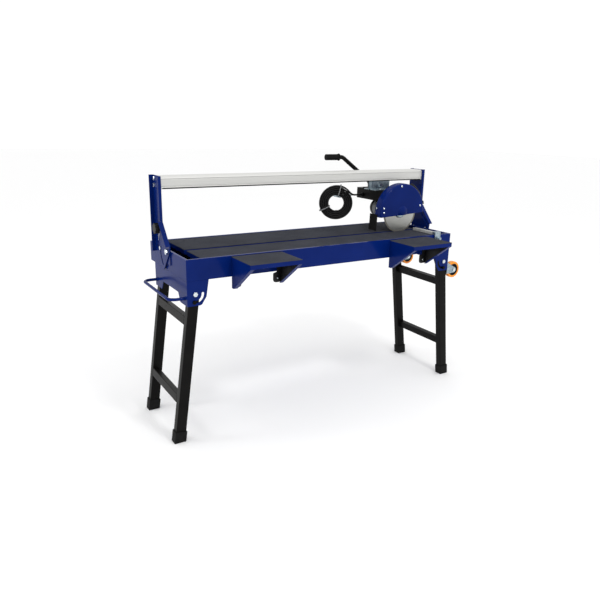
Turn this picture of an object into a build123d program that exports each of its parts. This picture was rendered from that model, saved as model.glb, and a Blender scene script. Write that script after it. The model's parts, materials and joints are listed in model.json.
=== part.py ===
"""Wet bridge tile saw: water tank on folding legs, tilting bridge, rolling saw head.

Lengths are millimetres. X runs along the rail, Y from front to back, Z up from the floor.
Shapes are drawn about the middle of the tank and moved to the middle of the whole saw at the end.
"""
from build123d import *
import math
import os

# Tank and table
TANK_LENGTH = 1540.0
TANK_WIDTH = 484.0
TANK_DEPTH = 95.0
TANK_SHEET = 2.5
RIM_HEIGHT = 853.0
RIM_FLANGE = 12.0
RIM_LIP = 9.0
END_WELL = 76.0
TABLE_DROP = 2.0
SLOT_WIDTH = 30.0
BLADE_PLANE = -36.0
MAT_SHEET = 3.0
TRAY_SHEET = 2.0
TRAY_DEPTH = 20.0
PANEL_GAP = 2.0
SUPPORT_COUNT = 4
SUPPORT_WIDTH = 40.0
SUPPORT_DEPTH = 24.0
SUPPORT_END_GAP = 70.0
DRAIN_RADIUS = 14.0
DRAIN_INSET = 210.0
PUMP_INSET = 300.0
REAR_INSET = 122.0

# Running and seating clearances
RUNNING = 0.05
SEAT_GAP = 0.3

# Leg brackets and legs
BRACKET_SHEET = 3.0
BRACKET_SHORT = 59.0
BRACKET_DEPTH = 113.0
APRON_DEPTH = 72.0
CHEEK_LENGTH = 102.0
CHEEK_ROUND = 14.0
LEG_PIVOT_IN = 37.0
LEG_PIVOT_DROP = 60.0
LEG_BOLT_RADIUS = 6.0
LEG_SLOT_RADIUS = 36.0
LEG_STUD_RADIUS = 5.0
LEG_SPLAY = 7.5
LEG_WIDTH = 48.0
LEG_THICKNESS = 36.0
LEG_WALL = 2.5
LEG_SIDE_GAP = 2.0
FOOT_WALL = 4.0
FOOT_SOLE = 8.0
FOOT_HEIGHT = 42.0
BRACE_HEIGHT = 40.0
BRACE_DEPTH = 30.0
UPPER_BRACE_DROP = 128.0
LOWER_BRACE_RISE = 203.0

# Carry handle and transport wheels
HANDLE_TUBE = 7.0
HANDLE_REACH = 70.0
HANDLE_DROP = 80.0
HANDLE_INSET = 26.0
HANDLE_BEND = 34.0
WHEEL_RADIUS = 46.0
WHEEL_WIDTH = 28.0
TYRE_DEPTH = 12.0
WHEEL_DROP = 118.0
WHEEL_GAP = 5.0
AXLE_RADIUS = 5.0
FORK_SHEET = 3.0
FORK_SIDE_GAP = 1.5
FORK_ROUND = 16.0
FORK_FOOT = 20.0
FORK_TOP = 48.0

# Front shelves
LEFT_SHELF_INSET = 338.0
RIGHT_SHELF_INSET = 303.0
SHELF_WIDTH = 254.0
SHELF_DEPTH = 186.0
SHELF_DROP = 4.0
SHELF_LIP = 19.0
SHELF_SHEET = 2.0
SHELF_MAT = 2.5
GUSSET_HEIGHT = 142.0
GUSSET_TOE = 18.0
GUSSET_LIP = 20.0
SHELF_FLANGE = 46.0
PEG_RADIUS = 4.0
PEG_HEAD = 8.0
PEG_SPACING = 180.0
PEG_DROP = 27.0

# End fence
FENCE_INSET = 28.0
FENCE_WIDTH = 22.0
FENCE_HEIGHT = 14.0
FENCE_SLOT_GAP = 10.0
CLAMP_WIDTH = 40.0

# Tilting bridge, with its post measured from the tilt axis
STAY_SHEET = 4.0
STAY_MARGIN = 18.0
STAY_LAP = 63.0
POST_SHEET = 4.0
POST_GAP = 1.0
POST_FRONT = 58.0
POST_BACK = 166.0
POST_TOP = 329.0
POST_BACK_FOOT = -25.0
POST_FLANGE = 18.0
POST_FRONT_FLANGE = 10.0
GUSSET_TOP = 127.0
GUSSET_NOSE = -29.0
GUSSET_FOOT = 29.0
TONGUE_FOOT = -94.0
TONGUE_BACK = 94.0
TILT_PIN_RADIUS = 8.0
TILT_RANGE = 45.0
LOCK_RADIUS = 130.0
LOCK_ANGLE = 45.6
LOCK_STUD = 5.0
GUIDE_RADIUS = 97.0
GUIDE_STUD = 4.0
TILT_SLOT_WIDTH = 11.0
KNOB_RADIUS = 25.0
KNOB_LENGTH = 28.0
KNOB_LOBES = 7

# Guide rail and trolley
RAIL_SETBACK = 9.0
RAIL_TOP_GAP = 2.0
RAIL_DEPTH = 84.0
RAIL_HEIGHT = 56.0
RAIL_WALL = 4.0
RAIL_SLOT = 24.0
RAIL_BEVEL = 8.0
RAIL_BOLT = 5.0
ROLLER_RADIUS = 15.0
ROLLER_WIDTH = 14.0
ROLLER_AXLE = 5.0
ROLLER_SPACING = 140.0
TROLLEY_LENGTH = 200.0
TROLLEY_THICKNESS = 14.0
TROLLEY_HEIGHT = 28.0
STEM_LENGTH = 120.0
HANGER_LENGTH = 130.0
HANGER_SHEET = 4.0
HANGER_FLANGE = 44.0
HANGER_HEIGHT = 46.0
HANGER_BOLT = 6.0

# Saw head
HEAD_PARK = 200.0
TROLLEY_OFFSET = 70.0
BLADE_DIAMETER = 230.0
BLADE_THICKNESS = 2.4
BLADE_CORE = 1.8
BLADE_RIM = 9.0
BLADE_BORE = 11.1
BLADE_DIP = 8.0
FLANGE_RADIUS = 35.0
FLANGE_THICKNESS = 8.0
NUT_LENGTH = 12.0
ARBOR_RADIUS = 8.0
GUARD_CLEARANCE = 40.0
GUARD_FRONT = 26.0
GUARD_BACK = 22.0
GUARD_SHEET = 2.0
GUARD_ROUND = 10.0
GUARD_CUT = 16.0
GUARD_CUT_TILT = 3.1
DOME_RADIUS = 34.0
DOME_HEIGHT = 12.0
FLAP_SHEET = 3.0
FLAP_WIDTH = 64.0
FLAP_GAP = 9.0
FLAP_TOP = 10.0
FEED_RADIUS = 5.0
FEED_START = 16.0
FEED_END = 64.0
PLATE_SHEET = 6.0
MOTOR_RADIUS = 50.0
MOTOR_LENGTH = 156.0
MOTOR_WALL = 5.0
MOTOR_SPIGOT = 28.0
BELL_LENGTH = 34.0
BELL_RADIUS = 48.0
ROTOR_RADIUS = 25.0
ROTOR_LENGTH = 80.0
ARM_LEFT = 105.0
ARM_RIGHT = 55.0
ARM_LENGTH = 236.0
ARM_SHEET = 4.0
ARM_CLEARANCE = 4.0

# Handle bar, hook, switch and power lead
BAR_RADIUS = 11.0
BAR_OFFSET = 65.0
BAR_INSET = 65.0
BAR_BASE = (60.0, 48.0, 5.0)
BAR_STAND = 28.0
BAR_LIFT = 174.0
BAR_BEND = 36.0
GRIP_RADIUS = 17.0
GRIP_LENGTH = 104.0
GRIP_REACH = 309.0
GRIP_GROOVES = 5
HOOK_RADIUS = 4.0
HOOK_BEND = 12.0
HOOK_STANDOFF = 20.0
HOOK_REACH = 70.0
HOOK_INSET = 15.0
BOX_LENGTH = 80.0
BOX_HEIGHT = 46.0
BOX_DEPTH = 26.0
BOX_REAR_GAP = 40.0
ROCKER_LENGTH = 30.0
ROCKER_WIDTH = 20.0
ROCKER_DEPTH = 9.0
ROCKER_TIP = 8.0
ROCKER_GAP = 0.8
CORD_RADIUS = 5.0
GLAND_INSET = 55.0
GLAND_RISE = 22.0
GLAND_LENGTH = 36.0
GLAND_NUT = 7.0
COIL_OUT = 156.0
COIL_INSET = 15.0
COIL_DROP = 22.0
COIL_OUTER = 103.0
COIL_INNER = 42.0
COIL_THICKNESS = 40.0
COIL_TURN = 31.6
LEAD_STEPS = [(0.0, 0.0, 0.0), (-24.0, 0.0, 0.0), (-46.0, -3.0, 7.0), (-64.0, -7.0, 21.0)]
PLUG_SIZE = (42.0, 26.0, 36.0)
PLUG_RELIEF = 30.0
PLUG_PIN = 19.0

# Places that follow from the sizes above
TANK_END = TANK_LENGTH / 2
TANK_SIDE = TANK_WIDTH / 2
TANK_FLOOR = RIM_HEIGHT - TANK_DEPTH
TABLE_LENGTH = TANK_LENGTH - 2 * END_WELL
DRAIN_X = -TANK_END + DRAIN_INSET
PUMP_X = TANK_END - PUMP_INSET
REAR_Y = TANK_SIDE - REAR_INSET
BRACKET_BACK = TANK_SIDE - BRACKET_SHORT
TABLE_TOP = RIM_HEIGHT - TABLE_DROP
TRAY_TOP = TABLE_TOP - MAT_SHEET
TRAY_FOOT = TRAY_TOP - TRAY_DEPTH
PANEL_SIDE = TANK_SIDE - RIM_FLANGE - PANEL_GAP
LEG_PIVOT_X = -(TANK_END - LEG_PIVOT_IN)
LEG_PIVOT_Z = TANK_FLOOR - LEG_PIVOT_DROP
CHEEK_INNER = {"front": -TANK_SIDE + BRACKET_SHEET, "rear": BRACKET_BACK - BRACKET_SHEET}
FRONT_LEG = (CHEEK_INNER["front"] + LEG_SIDE_GAP, CHEEK_INNER["front"] + LEG_SIDE_GAP + LEG_THICKNESS)
REAR_LEG = (CHEEK_INNER["rear"] - LEG_SIDE_GAP - LEG_THICKNESS, CHEEK_INNER["rear"] - LEG_SIDE_GAP)
WHEEL_X = TANK_END + FORK_SHEET + WHEEL_GAP + WHEEL_RADIUS
WHEEL_Z = TANK_FLOOR - WHEEL_DROP
WHEEL_HALF = WHEEL_WIDTH / 2
FORK_HALF = WHEEL_HALF + FORK_SIDE_GAP + FORK_SHEET
WHEEL_YS = {
    "front": -TANK_SIDE + FORK_HALF + 1.5,
    "rear": BRACKET_BACK - FORK_HALF - 1.5,
}
SHELF_CENTRES = {"left": -TANK_END + LEFT_SHELF_INSET, "right": TANK_END - RIGHT_SHELF_INSET}
SHELF_TOP = RIM_HEIGHT - SHELF_DROP
SHELF_PLATE = SHELF_TOP - SHELF_MAT
SHELF_BACK = -TANK_SIDE - SEAT_GAP
SHELF_FRONT = -TANK_SIDE - SHELF_DEPTH
FENCE_X = TABLE_LENGTH / 2 - FENCE_INSET
STAY_OUT = -TANK_END - STAY_SHEET
WEB_IN = STAY_OUT - POST_GAP
WEB_OUT = WEB_IN - POST_SHEET
PIVOT = (BLADE_PLANE, TABLE_TOP)
RAIL_FRONT = PIVOT[0] + POST_FRONT + RAIL_SETBACK
RAIL_TOP = PIVOT[1] + POST_TOP - RAIL_TOP_GAP
RAIL_BOTTOM = RAIL_TOP - RAIL_HEIGHT
RAIL_BACK = RAIL_FRONT + RAIL_DEPTH
RAIL_MIDDLE = RAIL_FRONT + RAIL_DEPTH / 2
ROLLER_Z = RAIL_BOTTOM + RAIL_WALL + ROLLER_RADIUS + SEAT_GAP
ARBOR_Z = TABLE_TOP - BLADE_DIP + BLADE_DIAMETER / 2
HEAD_X = TANK_END - HEAD_PARK
TROLLEY_X = HEAD_X - TROLLEY_OFFSET
GUARD_RADIUS = BLADE_DIAMETER / 2 + GUARD_CLEARANCE
GUARD_Y = (BLADE_PLANE - GUARD_FRONT, BLADE_PLANE + GUARD_BACK)
PLATE_Y = (GUARD_Y[1] + GUARD_SHEET, GUARD_Y[1] + GUARD_SHEET + PLATE_SHEET)
MOTOR_Y = (PLATE_Y[1], PLATE_Y[1] + MOTOR_LENGTH)
ARM_X = (HEAD_X - ARM_LEFT, HEAD_X + ARM_RIGHT)
ARM_Y = (PLATE_Y[1], PLATE_Y[1] + ARM_LENGTH)
HANGER_FOOT = RAIL_BOTTOM - SEAT_GAP - HANGER_HEIGHT - HANGER_SHEET
ARM_Z = (ARBOR_Z + MOTOR_RADIUS + ARM_CLEARANCE, HANGER_FOOT)
BAR_X = HEAD_X - BAR_OFFSET
BAR_Y = ARM_Y[1] - BAR_INSET
BAR_RISE = ARM_Z[1] + BAR_LIFT
GRIP_END = BAR_X - GRIP_REACH
COIL_CENTRE = (ARM_X[0] - COIL_OUT, ARM_Y[1] - COIL_INSET, ARM_Z[0] - COIL_DROP)
HOOK_Y = ARM_Y[1] + HOOK_STANDOFF
HOOK_Z = COIL_CENTRE[2] + COIL_INNER - 2 * HOOK_RADIUS
GLAND_TIP = (ARM_X[0] - GLAND_LENGTH, ARM_Y[1] - GLAND_INSET, ARM_Z[0] + GLAND_RISE)
CORD_ROUTE = [tuple(a + b for a, b in zip(GLAND_TIP, step)) for step in LEAD_STEPS]


def block(x, y, z):
    """A box from its (low, high) pairs."""
    centre = Pos(sum(x) / 2, sum(y) / 2, sum(z) / 2)
    return centre * Box(x[1] - x[0], y[1] - y[0], z[1] - z[0])


def rod_x(radius, x, y, z):
    return Pos(sum(x) / 2, y, z) * Rot(0, 90, 0) * Cylinder(radius, x[1] - x[0])


def rod_y(radius, x, y, z):
    return Pos(x, sum(y) / 2, z) * Rot(90, 0, 0) * Cylinder(radius, y[1] - y[0])


def rod_z(radius, x, y, z):
    return Pos(x, y, sum(z) / 2) * Cylinder(radius, z[1] - z[0])


def yz_plane(x, y=0.0, z=0.0):
    """A drawing plane facing +X, with its own x along Y."""
    return Plane(origin=(x, y, z), x_dir=(0, 1, 0), z_dir=(1, 0, 0))


def xz_plane(y, x=0.0, z=0.0):
    """A drawing plane facing -Y, with its own x along X."""
    return Plane(origin=(x, y, z), x_dir=(1, 0, 0), z_dir=(0, -1, 0))


def outline(points):
    return make_face(Polyline(*points, close=True))


def yz_sheet(points, x):
    """A plate drawn in Y and Z, between two X places."""
    return extrude(yz_plane(x[0]) * outline(points), amount=x[1] - x[0])


def xz_sheet(points, y):
    """A plate drawn in X and Z, between two Y places."""
    return extrude(xz_plane(y[1]) * outline(points), amount=y[1] - y[0])


def hex_x(across, x, y, z):
    return extrude(yz_plane(x[0], y, z) * RegularPolygon(across / 2, 6, major_radius=False), amount=x[1] - x[0])


def hex_y(across, x, y, z):
    return extrude(xz_plane(y[1], x, z) * RegularPolygon(across / 2, 6, major_radius=False), amount=y[1] - y[0])


def hex_z(across, x, y, z):
    return Pos(x, y, z[0]) * extrude(RegularPolygon(across / 2, 6, major_radius=False), amount=z[1] - z[0])


def turned_y(profile, x, z):
    """A solid of revolution about the Y line through (x, z), from (radius, y) points."""
    section = Plane(origin=(x, 0, z), x_dir=(1, 0, 0), z_dir=(0, 0, 1)) * outline(profile)
    return revolve(section, axis=Axis((x, 0, z), (0, 1, 0)), revolution_arc=360)


def bent_rod(points, radius, bend):
    """A round rod or tube along straight runs with rounded bends."""
    path = FilletPolyline(*points, radius=bend)
    return sweep(Plane(path @ 0, z_dir=path % 0) * Circle(radius), path=path)


def right_hand(shape):
    return mirror(shape, about=Plane.YZ)


def group(*shapes):
    """Separate solids that share one node."""
    solids = []
    for shape in shapes:
        solids.extend(shape.solids())
    return Compound(solids)


def water_tank():
    """Folded trough with an inward rim, a down-turned rim lip and a drain hole."""
    outside = block((-TANK_END, TANK_END), (-TANK_SIDE, TANK_SIDE), (TANK_FLOOR, RIM_HEIGHT))
    wall_x = TANK_END - TANK_SHEET
    wall_y = TANK_SIDE - TANK_SHEET
    inside = block((-wall_x, wall_x), (-wall_y, wall_y), (TANK_FLOOR + TANK_SHEET, RIM_HEIGHT - TANK_SHEET))
    mouth_x = TANK_END - RIM_FLANGE
    mouth_y = TANK_SIDE - RIM_FLANGE
    mouth = block((-mouth_x, mouth_x), (-mouth_y, mouth_y), (TANK_FLOOR + TANK_DEPTH / 2, RIM_HEIGHT))
    tank = outside - inside - mouth
    lip_z = (RIM_HEIGHT - RIM_LIP, RIM_HEIGHT - TANK_SHEET)
    lip_x = mouth_x + TANK_SHEET
    lip_y = mouth_y + TANK_SHEET
    lip = block((-lip_x, lip_x), (-lip_y, lip_y), lip_z)
    lip -= block((-mouth_x, mouth_x), (-mouth_y, mouth_y), lip_z)
    drain = rod_z(DRAIN_RADIUS, DRAIN_X, REAR_Y, (TANK_FLOOR, TANK_FLOOR + TANK_SHEET))
    return tank + lip - drain


def drain_plug():
    stem = rod_z(DRAIN_RADIUS - RUNNING, DRAIN_X, REAR_Y, (TANK_FLOOR, TANK_FLOOR + TANK_SHEET + 4))
    flange = rod_z(DRAIN_RADIUS + 6, DRAIN_X, REAR_Y, (TANK_FLOOR - 5, TANK_FLOOR))
    return stem + flange


def support_places():
    first = TABLE_LENGTH / 2 - SUPPORT_END_GAP
    step = 2 * first / (SUPPORT_COUNT - 1)
    return [-first + step * i for i in range(SUPPORT_COUNT)]


def table_supports():
    """Inverted channels across the tank that carry the table panels."""
    channels = []
    side = TANK_SIDE - TANK_SHEET
    for x in support_places():
        half = SUPPORT_WIDTH / 2
        bar = block((x - half, x + half), (-side, side), (TRAY_FOOT - SUPPORT_DEPTH, TRAY_FOOT))
        inner = half - TRAY_SHEET
        hollow_z = (TRAY_FOOT - SUPPORT_DEPTH, TRAY_FOOT - TRAY_SHEET)
        channels.append(bar - block((x - inner, x + inner), (-side, side), hollow_z))
    return group(*channels)


def panel_strips():
    """The (low, high) Y pairs of the front and rear table panels."""
    return [
        (-PANEL_SIDE, BLADE_PLANE - SLOT_WIDTH / 2),
        (BLADE_PLANE + SLOT_WIDTH / 2, PANEL_SIDE),
    ]


def table_panels():
    trays = []
    half = TABLE_LENGTH / 2
    for low, high in panel_strips():
        tray = block((-half, half), (low, high), (TRAY_FOOT, TRAY_TOP))
        inner_x = (-half + TRAY_SHEET, half - TRAY_SHEET)
        inner_y = (low + TRAY_SHEET, high - TRAY_SHEET)
        trays.append(tray - block(inner_x, inner_y, (TRAY_FOOT, TRAY_TOP - TRAY_SHEET)))
    return group(*trays)


def table_mats():
    half = TABLE_LENGTH / 2
    return group(*[block((-half, half), strip, (TRAY_TOP, TABLE_TOP)) for strip in panel_strips()])


def water_pump():
    """Small submersible pump on the tank floor: body, suction foot and hose spigot."""
    floor = TANK_FLOOR + TANK_SHEET
    x, y = PUMP_X, REAR_Y
    body = fillet(block((x - 36, x + 36), (y - 26, y + 26), (floor + 6, floor + 48)).edges().filter_by(Axis.Z), 10)
    foot = block((x - 30, x + 30), (y - 22, y + 22), (floor, floor + 6))
    spigot = rod_z(6, x - 18, y, (floor + 48, floor + 62))
    return body + foot + spigot


def leg_bracket():
    """Left-hand bracket: end apron, two cheeks with pivot holes and arc slots, welding strips."""
    low = -TANK_SIDE
    high = BRACKET_BACK
    foot = TANK_FLOOR - BRACKET_DEPTH
    arch = TANK_FLOOR - APRON_DEPTH
    ends = (-TANK_END, -TANK_END + BRACKET_SHEET)
    ear = 88.0
    slope = 24.0
    apron = yz_sheet([
        (low, TANK_FLOOR), (high, TANK_FLOOR), (high, foot), (high - ear, foot),
        (high - ear - slope, arch), (low + ear + slope, arch), (low + ear, foot), (low, foot),
    ], ends)
    inner_end = -TANK_END + CHEEK_LENGTH
    profile = outline([
        (-TANK_END, TANK_FLOOR), (inner_end, TANK_FLOOR), (inner_end - 12, TANK_FLOOR - 76),
        (inner_end - 36, foot), (-TANK_END, foot),
    ])
    corners = profile.vertices().filter_by(lambda v: v.Y < TANK_FLOOR - 50 and v.X > -TANK_END + 1)
    profile = fillet(corners, CHEEK_ROUND)
    bracket = apron
    for inner in CHEEK_INNER.values():
        outer = inner - BRACKET_SHEET if inner < 0 else inner + BRACKET_SHEET
        back = max(inner, outer)
        cheek = extrude(xz_plane(back) * profile, amount=BRACKET_SHEET)
        strip_in = inner + 24 if inner < 0 else inner - 24
        strip_y = (min(inner, strip_in), max(inner, strip_in))
        strip = block((-TANK_END, inner_end), strip_y, (TANK_FLOOR - BRACKET_SHEET, TANK_FLOOR))
        cuts = xz_plane(back, LEG_PIVOT_X, LEG_PIVOT_Z)
        hole = extrude(cuts * Circle(LEG_BOLT_RADIUS + RUNNING), amount=BRACKET_SHEET)
        swing = LEG_SPLAY + 90.0
        arc = CenterArc((0, 0), LEG_SLOT_RADIUS, -swing - 1.0, swing + 2.0)
        slot = extrude(cuts * SlotArc(arc, 2 * LEG_STUD_RADIUS + 1.0), amount=BRACKET_SHEET)
        bracket = bracket + cheek + strip - hole - slot
    return bracket


def carry_handle():
    """Bent tube welded to the left apron."""
    face = -TANK_END
    reach = face - HANDLE_REACH
    front = -TANK_SIDE + HANDLE_INSET
    back = BRACKET_BACK - HANDLE_INSET
    z = TANK_FLOOR - HANDLE_DROP
    points = [(face, front, z), (reach, front, z), (reach, back, z), (face, back, z)]
    return bent_rod(points, HANDLE_TUBE, HANDLE_BEND)


def wheel_forks():
    """Two pressed zinc forks on the right apron."""
    forks = []
    face = TANK_END
    for y in WHEEL_YS.values():
        base = block((face, face + FORK_SHEET), (y - FORK_HALF, y + FORK_HALF), (WHEEL_Z - FORK_FOOT, WHEEL_Z + FORK_TOP))
        fork = base
        for low in (y - FORK_HALF, y + FORK_HALF - FORK_SHEET):
            arm_y = (low, low + FORK_SHEET)
            arm = xz_sheet([
                (face, WHEEL_Z - FORK_FOOT), (WHEEL_X, WHEEL_Z - FORK_ROUND),
                (WHEEL_X, WHEEL_Z + FORK_ROUND), (face, WHEEL_Z + FORK_TOP),
            ], arm_y)
            arm += rod_y(FORK_ROUND, WHEEL_X, arm_y, WHEEL_Z)
            fork += arm - rod_y(AXLE_RADIUS + RUNNING, WHEEL_X, arm_y, WHEEL_Z)
        forks.append(fork)
    return group(*forks)


def wheel_tyre(y):
    """Moulded tyre with rounded shoulders."""
    half = WHEEL_HALF
    ring = rod_y(WHEEL_RADIUS, WHEEL_X, (y - half, y + half), WHEEL_Z)
    ring -= rod_y(WHEEL_RADIUS - TYRE_DEPTH, WHEEL_X, (y - half, y + half), WHEEL_Z)
    shoulders = ring.edges().filter_by(GeomType.CIRCLE).filter_by(lambda e: e.radius > WHEEL_RADIUS - 1)
    return fillet(shoulders, TYRE_DEPTH / 3)


def wheel_hub(y):
    """Dished plastic wheel centre with a boss for the axle."""
    rim = WHEEL_RADIUS - TYRE_DEPTH - RUNNING
    half = WHEEL_HALF - 1.0
    web = 4.0
    bore = AXLE_RADIUS + RUNNING
    return turned_y([
        (bore, y - half), (bore + 7, y - half), (bore + 7, y - web), (rim - 5, y - web), (rim - 5, y - half),
        (rim, y - half), (rim, y + half), (rim - 5, y + half), (rim - 5, y + web), (bore + 7, y + web),
        (bore + 7, y + half), (bore, y + half),
    ], WHEEL_X, WHEEL_Z)


def leg_tube(y):
    """Left-hand leg, upright about its pivot: rectangular tube with a rounded top."""
    reach = leg_reach()
    half = LEG_WIDTH / 2
    tube = block((-half, half), y, (-reach, 0)) + rod_y(half, 0, y, 0)
    inner = half - LEG_WALL
    inside_y = (y[0] + LEG_WALL, y[1] - LEG_WALL)
    tube -= block((-inner, inner), inside_y, (-reach, 0)) + rod_y(inner, 0, inside_y, 0)
    tube -= rod_y(LEG_BOLT_RADIUS + RUNNING, 0, y, 0)
    return tube


def leg_reach():
    """Length of a leg tube below its pivot."""
    splay = math.radians(LEG_SPLAY)
    floor = LEG_PIVOT_Z / math.cos(splay)
    return floor - FOOT_SOLE - (LEG_WIDTH / 2 + FOOT_WALL) * math.tan(splay)


def splayed(shape):
    return Pos(LEG_PIVOT_X, 0, LEG_PIVOT_Z) * Rot(0, LEG_SPLAY, 0) * shape


def leg_stud(y, cheek):
    """Lock stud welded through a leg, with its head outside the cheek's slot."""
    front = cheek < y[0]
    face = cheek - BRACKET_SHEET - SEAT_GAP if front else cheek + BRACKET_SHEET + SEAT_GAP
    head_y = (face - 6, face) if front else (face, face + 6)
    shank_y = (face, y[0] + LEG_WALL) if front else (y[1] - LEG_WALL, face)
    head = rod_y(9, 0, head_y, -LEG_SLOT_RADIUS)
    return head + rod_y(LEG_STUD_RADIUS, 0, shank_y, -LEG_SLOT_RADIUS)


def legs():
    """Left-hand pair of legs with their lock studs."""
    pair = []
    for y, side in ((FRONT_LEG, "front"), (REAR_LEG, "rear")):
        pair.append(splayed(leg_tube(y) + leg_stud(y, CHEEK_INNER[side])))
    return group(*pair)


def braces():
    """Left-hand cross tubes, flush with the outer faces of the legs."""
    tubes = []
    half = LEG_WIDTH / 2
    span = (FRONT_LEG[1], REAR_LEG[0])
    for height in (-UPPER_BRACE_DROP, LOWER_BRACE_RISE - LEG_PIVOT_Z):
        drop = height / math.cos(math.radians(LEG_SPLAY))
        z = (drop - BRACE_HEIGHT / 2, drop + BRACE_HEIGHT / 2)
        tube = block((-half, -half + BRACE_DEPTH), span, z)
        hollow_x = (-half + LEG_WALL, -half + BRACE_DEPTH - LEG_WALL)
        hollow_z = (z[0] + LEG_WALL, z[1] - LEG_WALL)
        tubes.append(splayed(tube - block(hollow_x, span, hollow_z)))
    return group(*tubes)


def feet():
    """Left-hand rubber caps, cut level with the floor."""
    caps = []
    half = LEG_WIDTH / 2
    reach = leg_reach()
    for y in (FRONT_LEG, REAR_LEG):
        outer_y = (y[0] - FOOT_WALL, y[1] + FOOT_WALL)
        top = -reach + FOOT_HEIGHT
        cap = block((-half - FOOT_WALL, half + FOOT_WALL), outer_y, (-reach - 4 * FOOT_SOLE, top))
        cap = splayed(cap - block((-half, half), y, (-reach, top)))
        floor_x = (LEG_PIVOT_X - LEG_PIVOT_Z, 0)
        below = block(floor_x, (outer_y[0] - 1, outer_y[1] + 1), (-LEG_PIVOT_Z, 0))
        caps.append(cap - below)
    return group(*caps)


def frame_bolts():
    """Leg pivot bolts, wheel axles, tilt pivot pins, guide studs, lock studs and shelf pegs."""
    bolts = []
    for y, side in ((FRONT_LEG, "front"), (REAR_LEG, "rear")):
        front = side == "front"
        outer = CHEEK_INNER[side] + (-BRACKET_SHEET if front else BRACKET_SHEET)
        inner = y[1] if front else y[0]
        shank_y = (outer - 7, inner + 9) if front else (inner - 9, outer + 7)
        shank = rod_y(LEG_BOLT_RADIUS, LEG_PIVOT_X, shank_y, LEG_PIVOT_Z)
        head_y = (outer - 7, outer) if front else (outer, outer + 7)
        nut_y = (inner + SEAT_GAP, inner + 9) if front else (inner - 9, inner - SEAT_GAP)
        bolt = shank + hex_y(19, LEG_PIVOT_X, head_y, LEG_PIVOT_Z) + hex_y(19, LEG_PIVOT_X, nut_y, LEG_PIVOT_Z)
        bolts += [bolt, right_hand(bolt)]
    for y in WHEEL_YS.values():
        axle = rod_y(AXLE_RADIUS, WHEEL_X, (y - FORK_HALF - 4, y + FORK_HALF + 4), WHEEL_Z)
        for head_y in ((y - FORK_HALF - 4, y - FORK_HALF), (y + FORK_HALF, y + FORK_HALF + 4)):
            axle += hex_y(16, WHEEL_X, head_y, WHEEL_Z)
        bolts.append(axle)
    for stud in (tilt_pin(), guide_stud(), lock_stud()):
        bolts += [stud, right_hand(stud)]
    for centre in SHELF_CENTRES.values():
        for x in (centre - PEG_SPACING / 2, centre + PEG_SPACING / 2):
            neck = -TANK_SIDE - SEAT_GAP - SHELF_SHEET - SEAT_GAP
            peg = rod_y(PEG_RADIUS, x, (neck, -TANK_SIDE), RIM_HEIGHT - PEG_DROP)
            bolts.append(peg + rod_y(PEG_HEAD, x, (neck - 3, neck), RIM_HEIGHT - PEG_DROP))
    return group(*bolts)


def around_pivot(radius, angle):
    """A (y, z) place at a radius and angle from the tilt axis."""
    turn = math.radians(angle)
    return (PIVOT[0] + radius * math.cos(turn), PIVOT[1] + radius * math.sin(turn))


def tilt_pin():
    end = WEB_OUT - SEAT_GAP - 10
    pin = rod_x(TILT_PIN_RADIUS, (end, -TANK_END), *PIVOT)
    return pin + hex_x(24, (end, WEB_OUT - SEAT_GAP), *PIVOT)


def guide_stud():
    place = around_pivot(GUIDE_RADIUS, 0)
    end = WEB_OUT - SEAT_GAP - 4
    return rod_x(GUIDE_STUD, (end, -TANK_END), *place) + rod_x(9, (end, WEB_OUT - SEAT_GAP), *place)


def lock_stud():
    place = around_pivot(LOCK_RADIUS, LOCK_ANGLE)
    return rod_x(LOCK_STUD, (WEB_OUT - SEAT_GAP - KNOB_LENGTH / 2, -TANK_END), *place)


def tilt_stay():
    """Left-hand plate welded to the tank end; it carries the tilt pin and the two studs."""
    lock_y, lock_z = around_pivot(LOCK_RADIUS, LOCK_ANGLE)
    guide_y, _ = around_pivot(GUIDE_RADIUS, 0)
    margin = STAY_MARGIN
    foot = RIM_HEIGHT - STAY_LAP
    stay = yz_sheet([
        (PIVOT[0] - margin, foot), (guide_y + margin, foot), (guide_y + margin, lock_z + margin),
        (lock_y - margin, lock_z + margin), (PIVOT[0] - margin, PIVOT[1] + margin),
    ], (STAY_OUT, -TANK_END))
    bores = [(TILT_PIN_RADIUS, PIVOT), (GUIDE_STUD, around_pivot(GUIDE_RADIUS, 0)), (LOCK_STUD, (lock_y, lock_z))]
    for radius, place in bores:
        stay -= rod_x(radius, (STAY_OUT, -TANK_END), *place)
    return stay


def tilt_slot(radius, start):
    """Arc slot round the tilt axis through the post's web."""
    arc = CenterArc((0, 0), radius, start - TILT_RANGE - 0.5, TILT_RANGE + 1.0)
    face = yz_plane(WEB_OUT, *PIVOT) * SlotArc(arc, TILT_SLOT_WIDTH)
    return extrude(face, amount=POST_SHEET)


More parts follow.
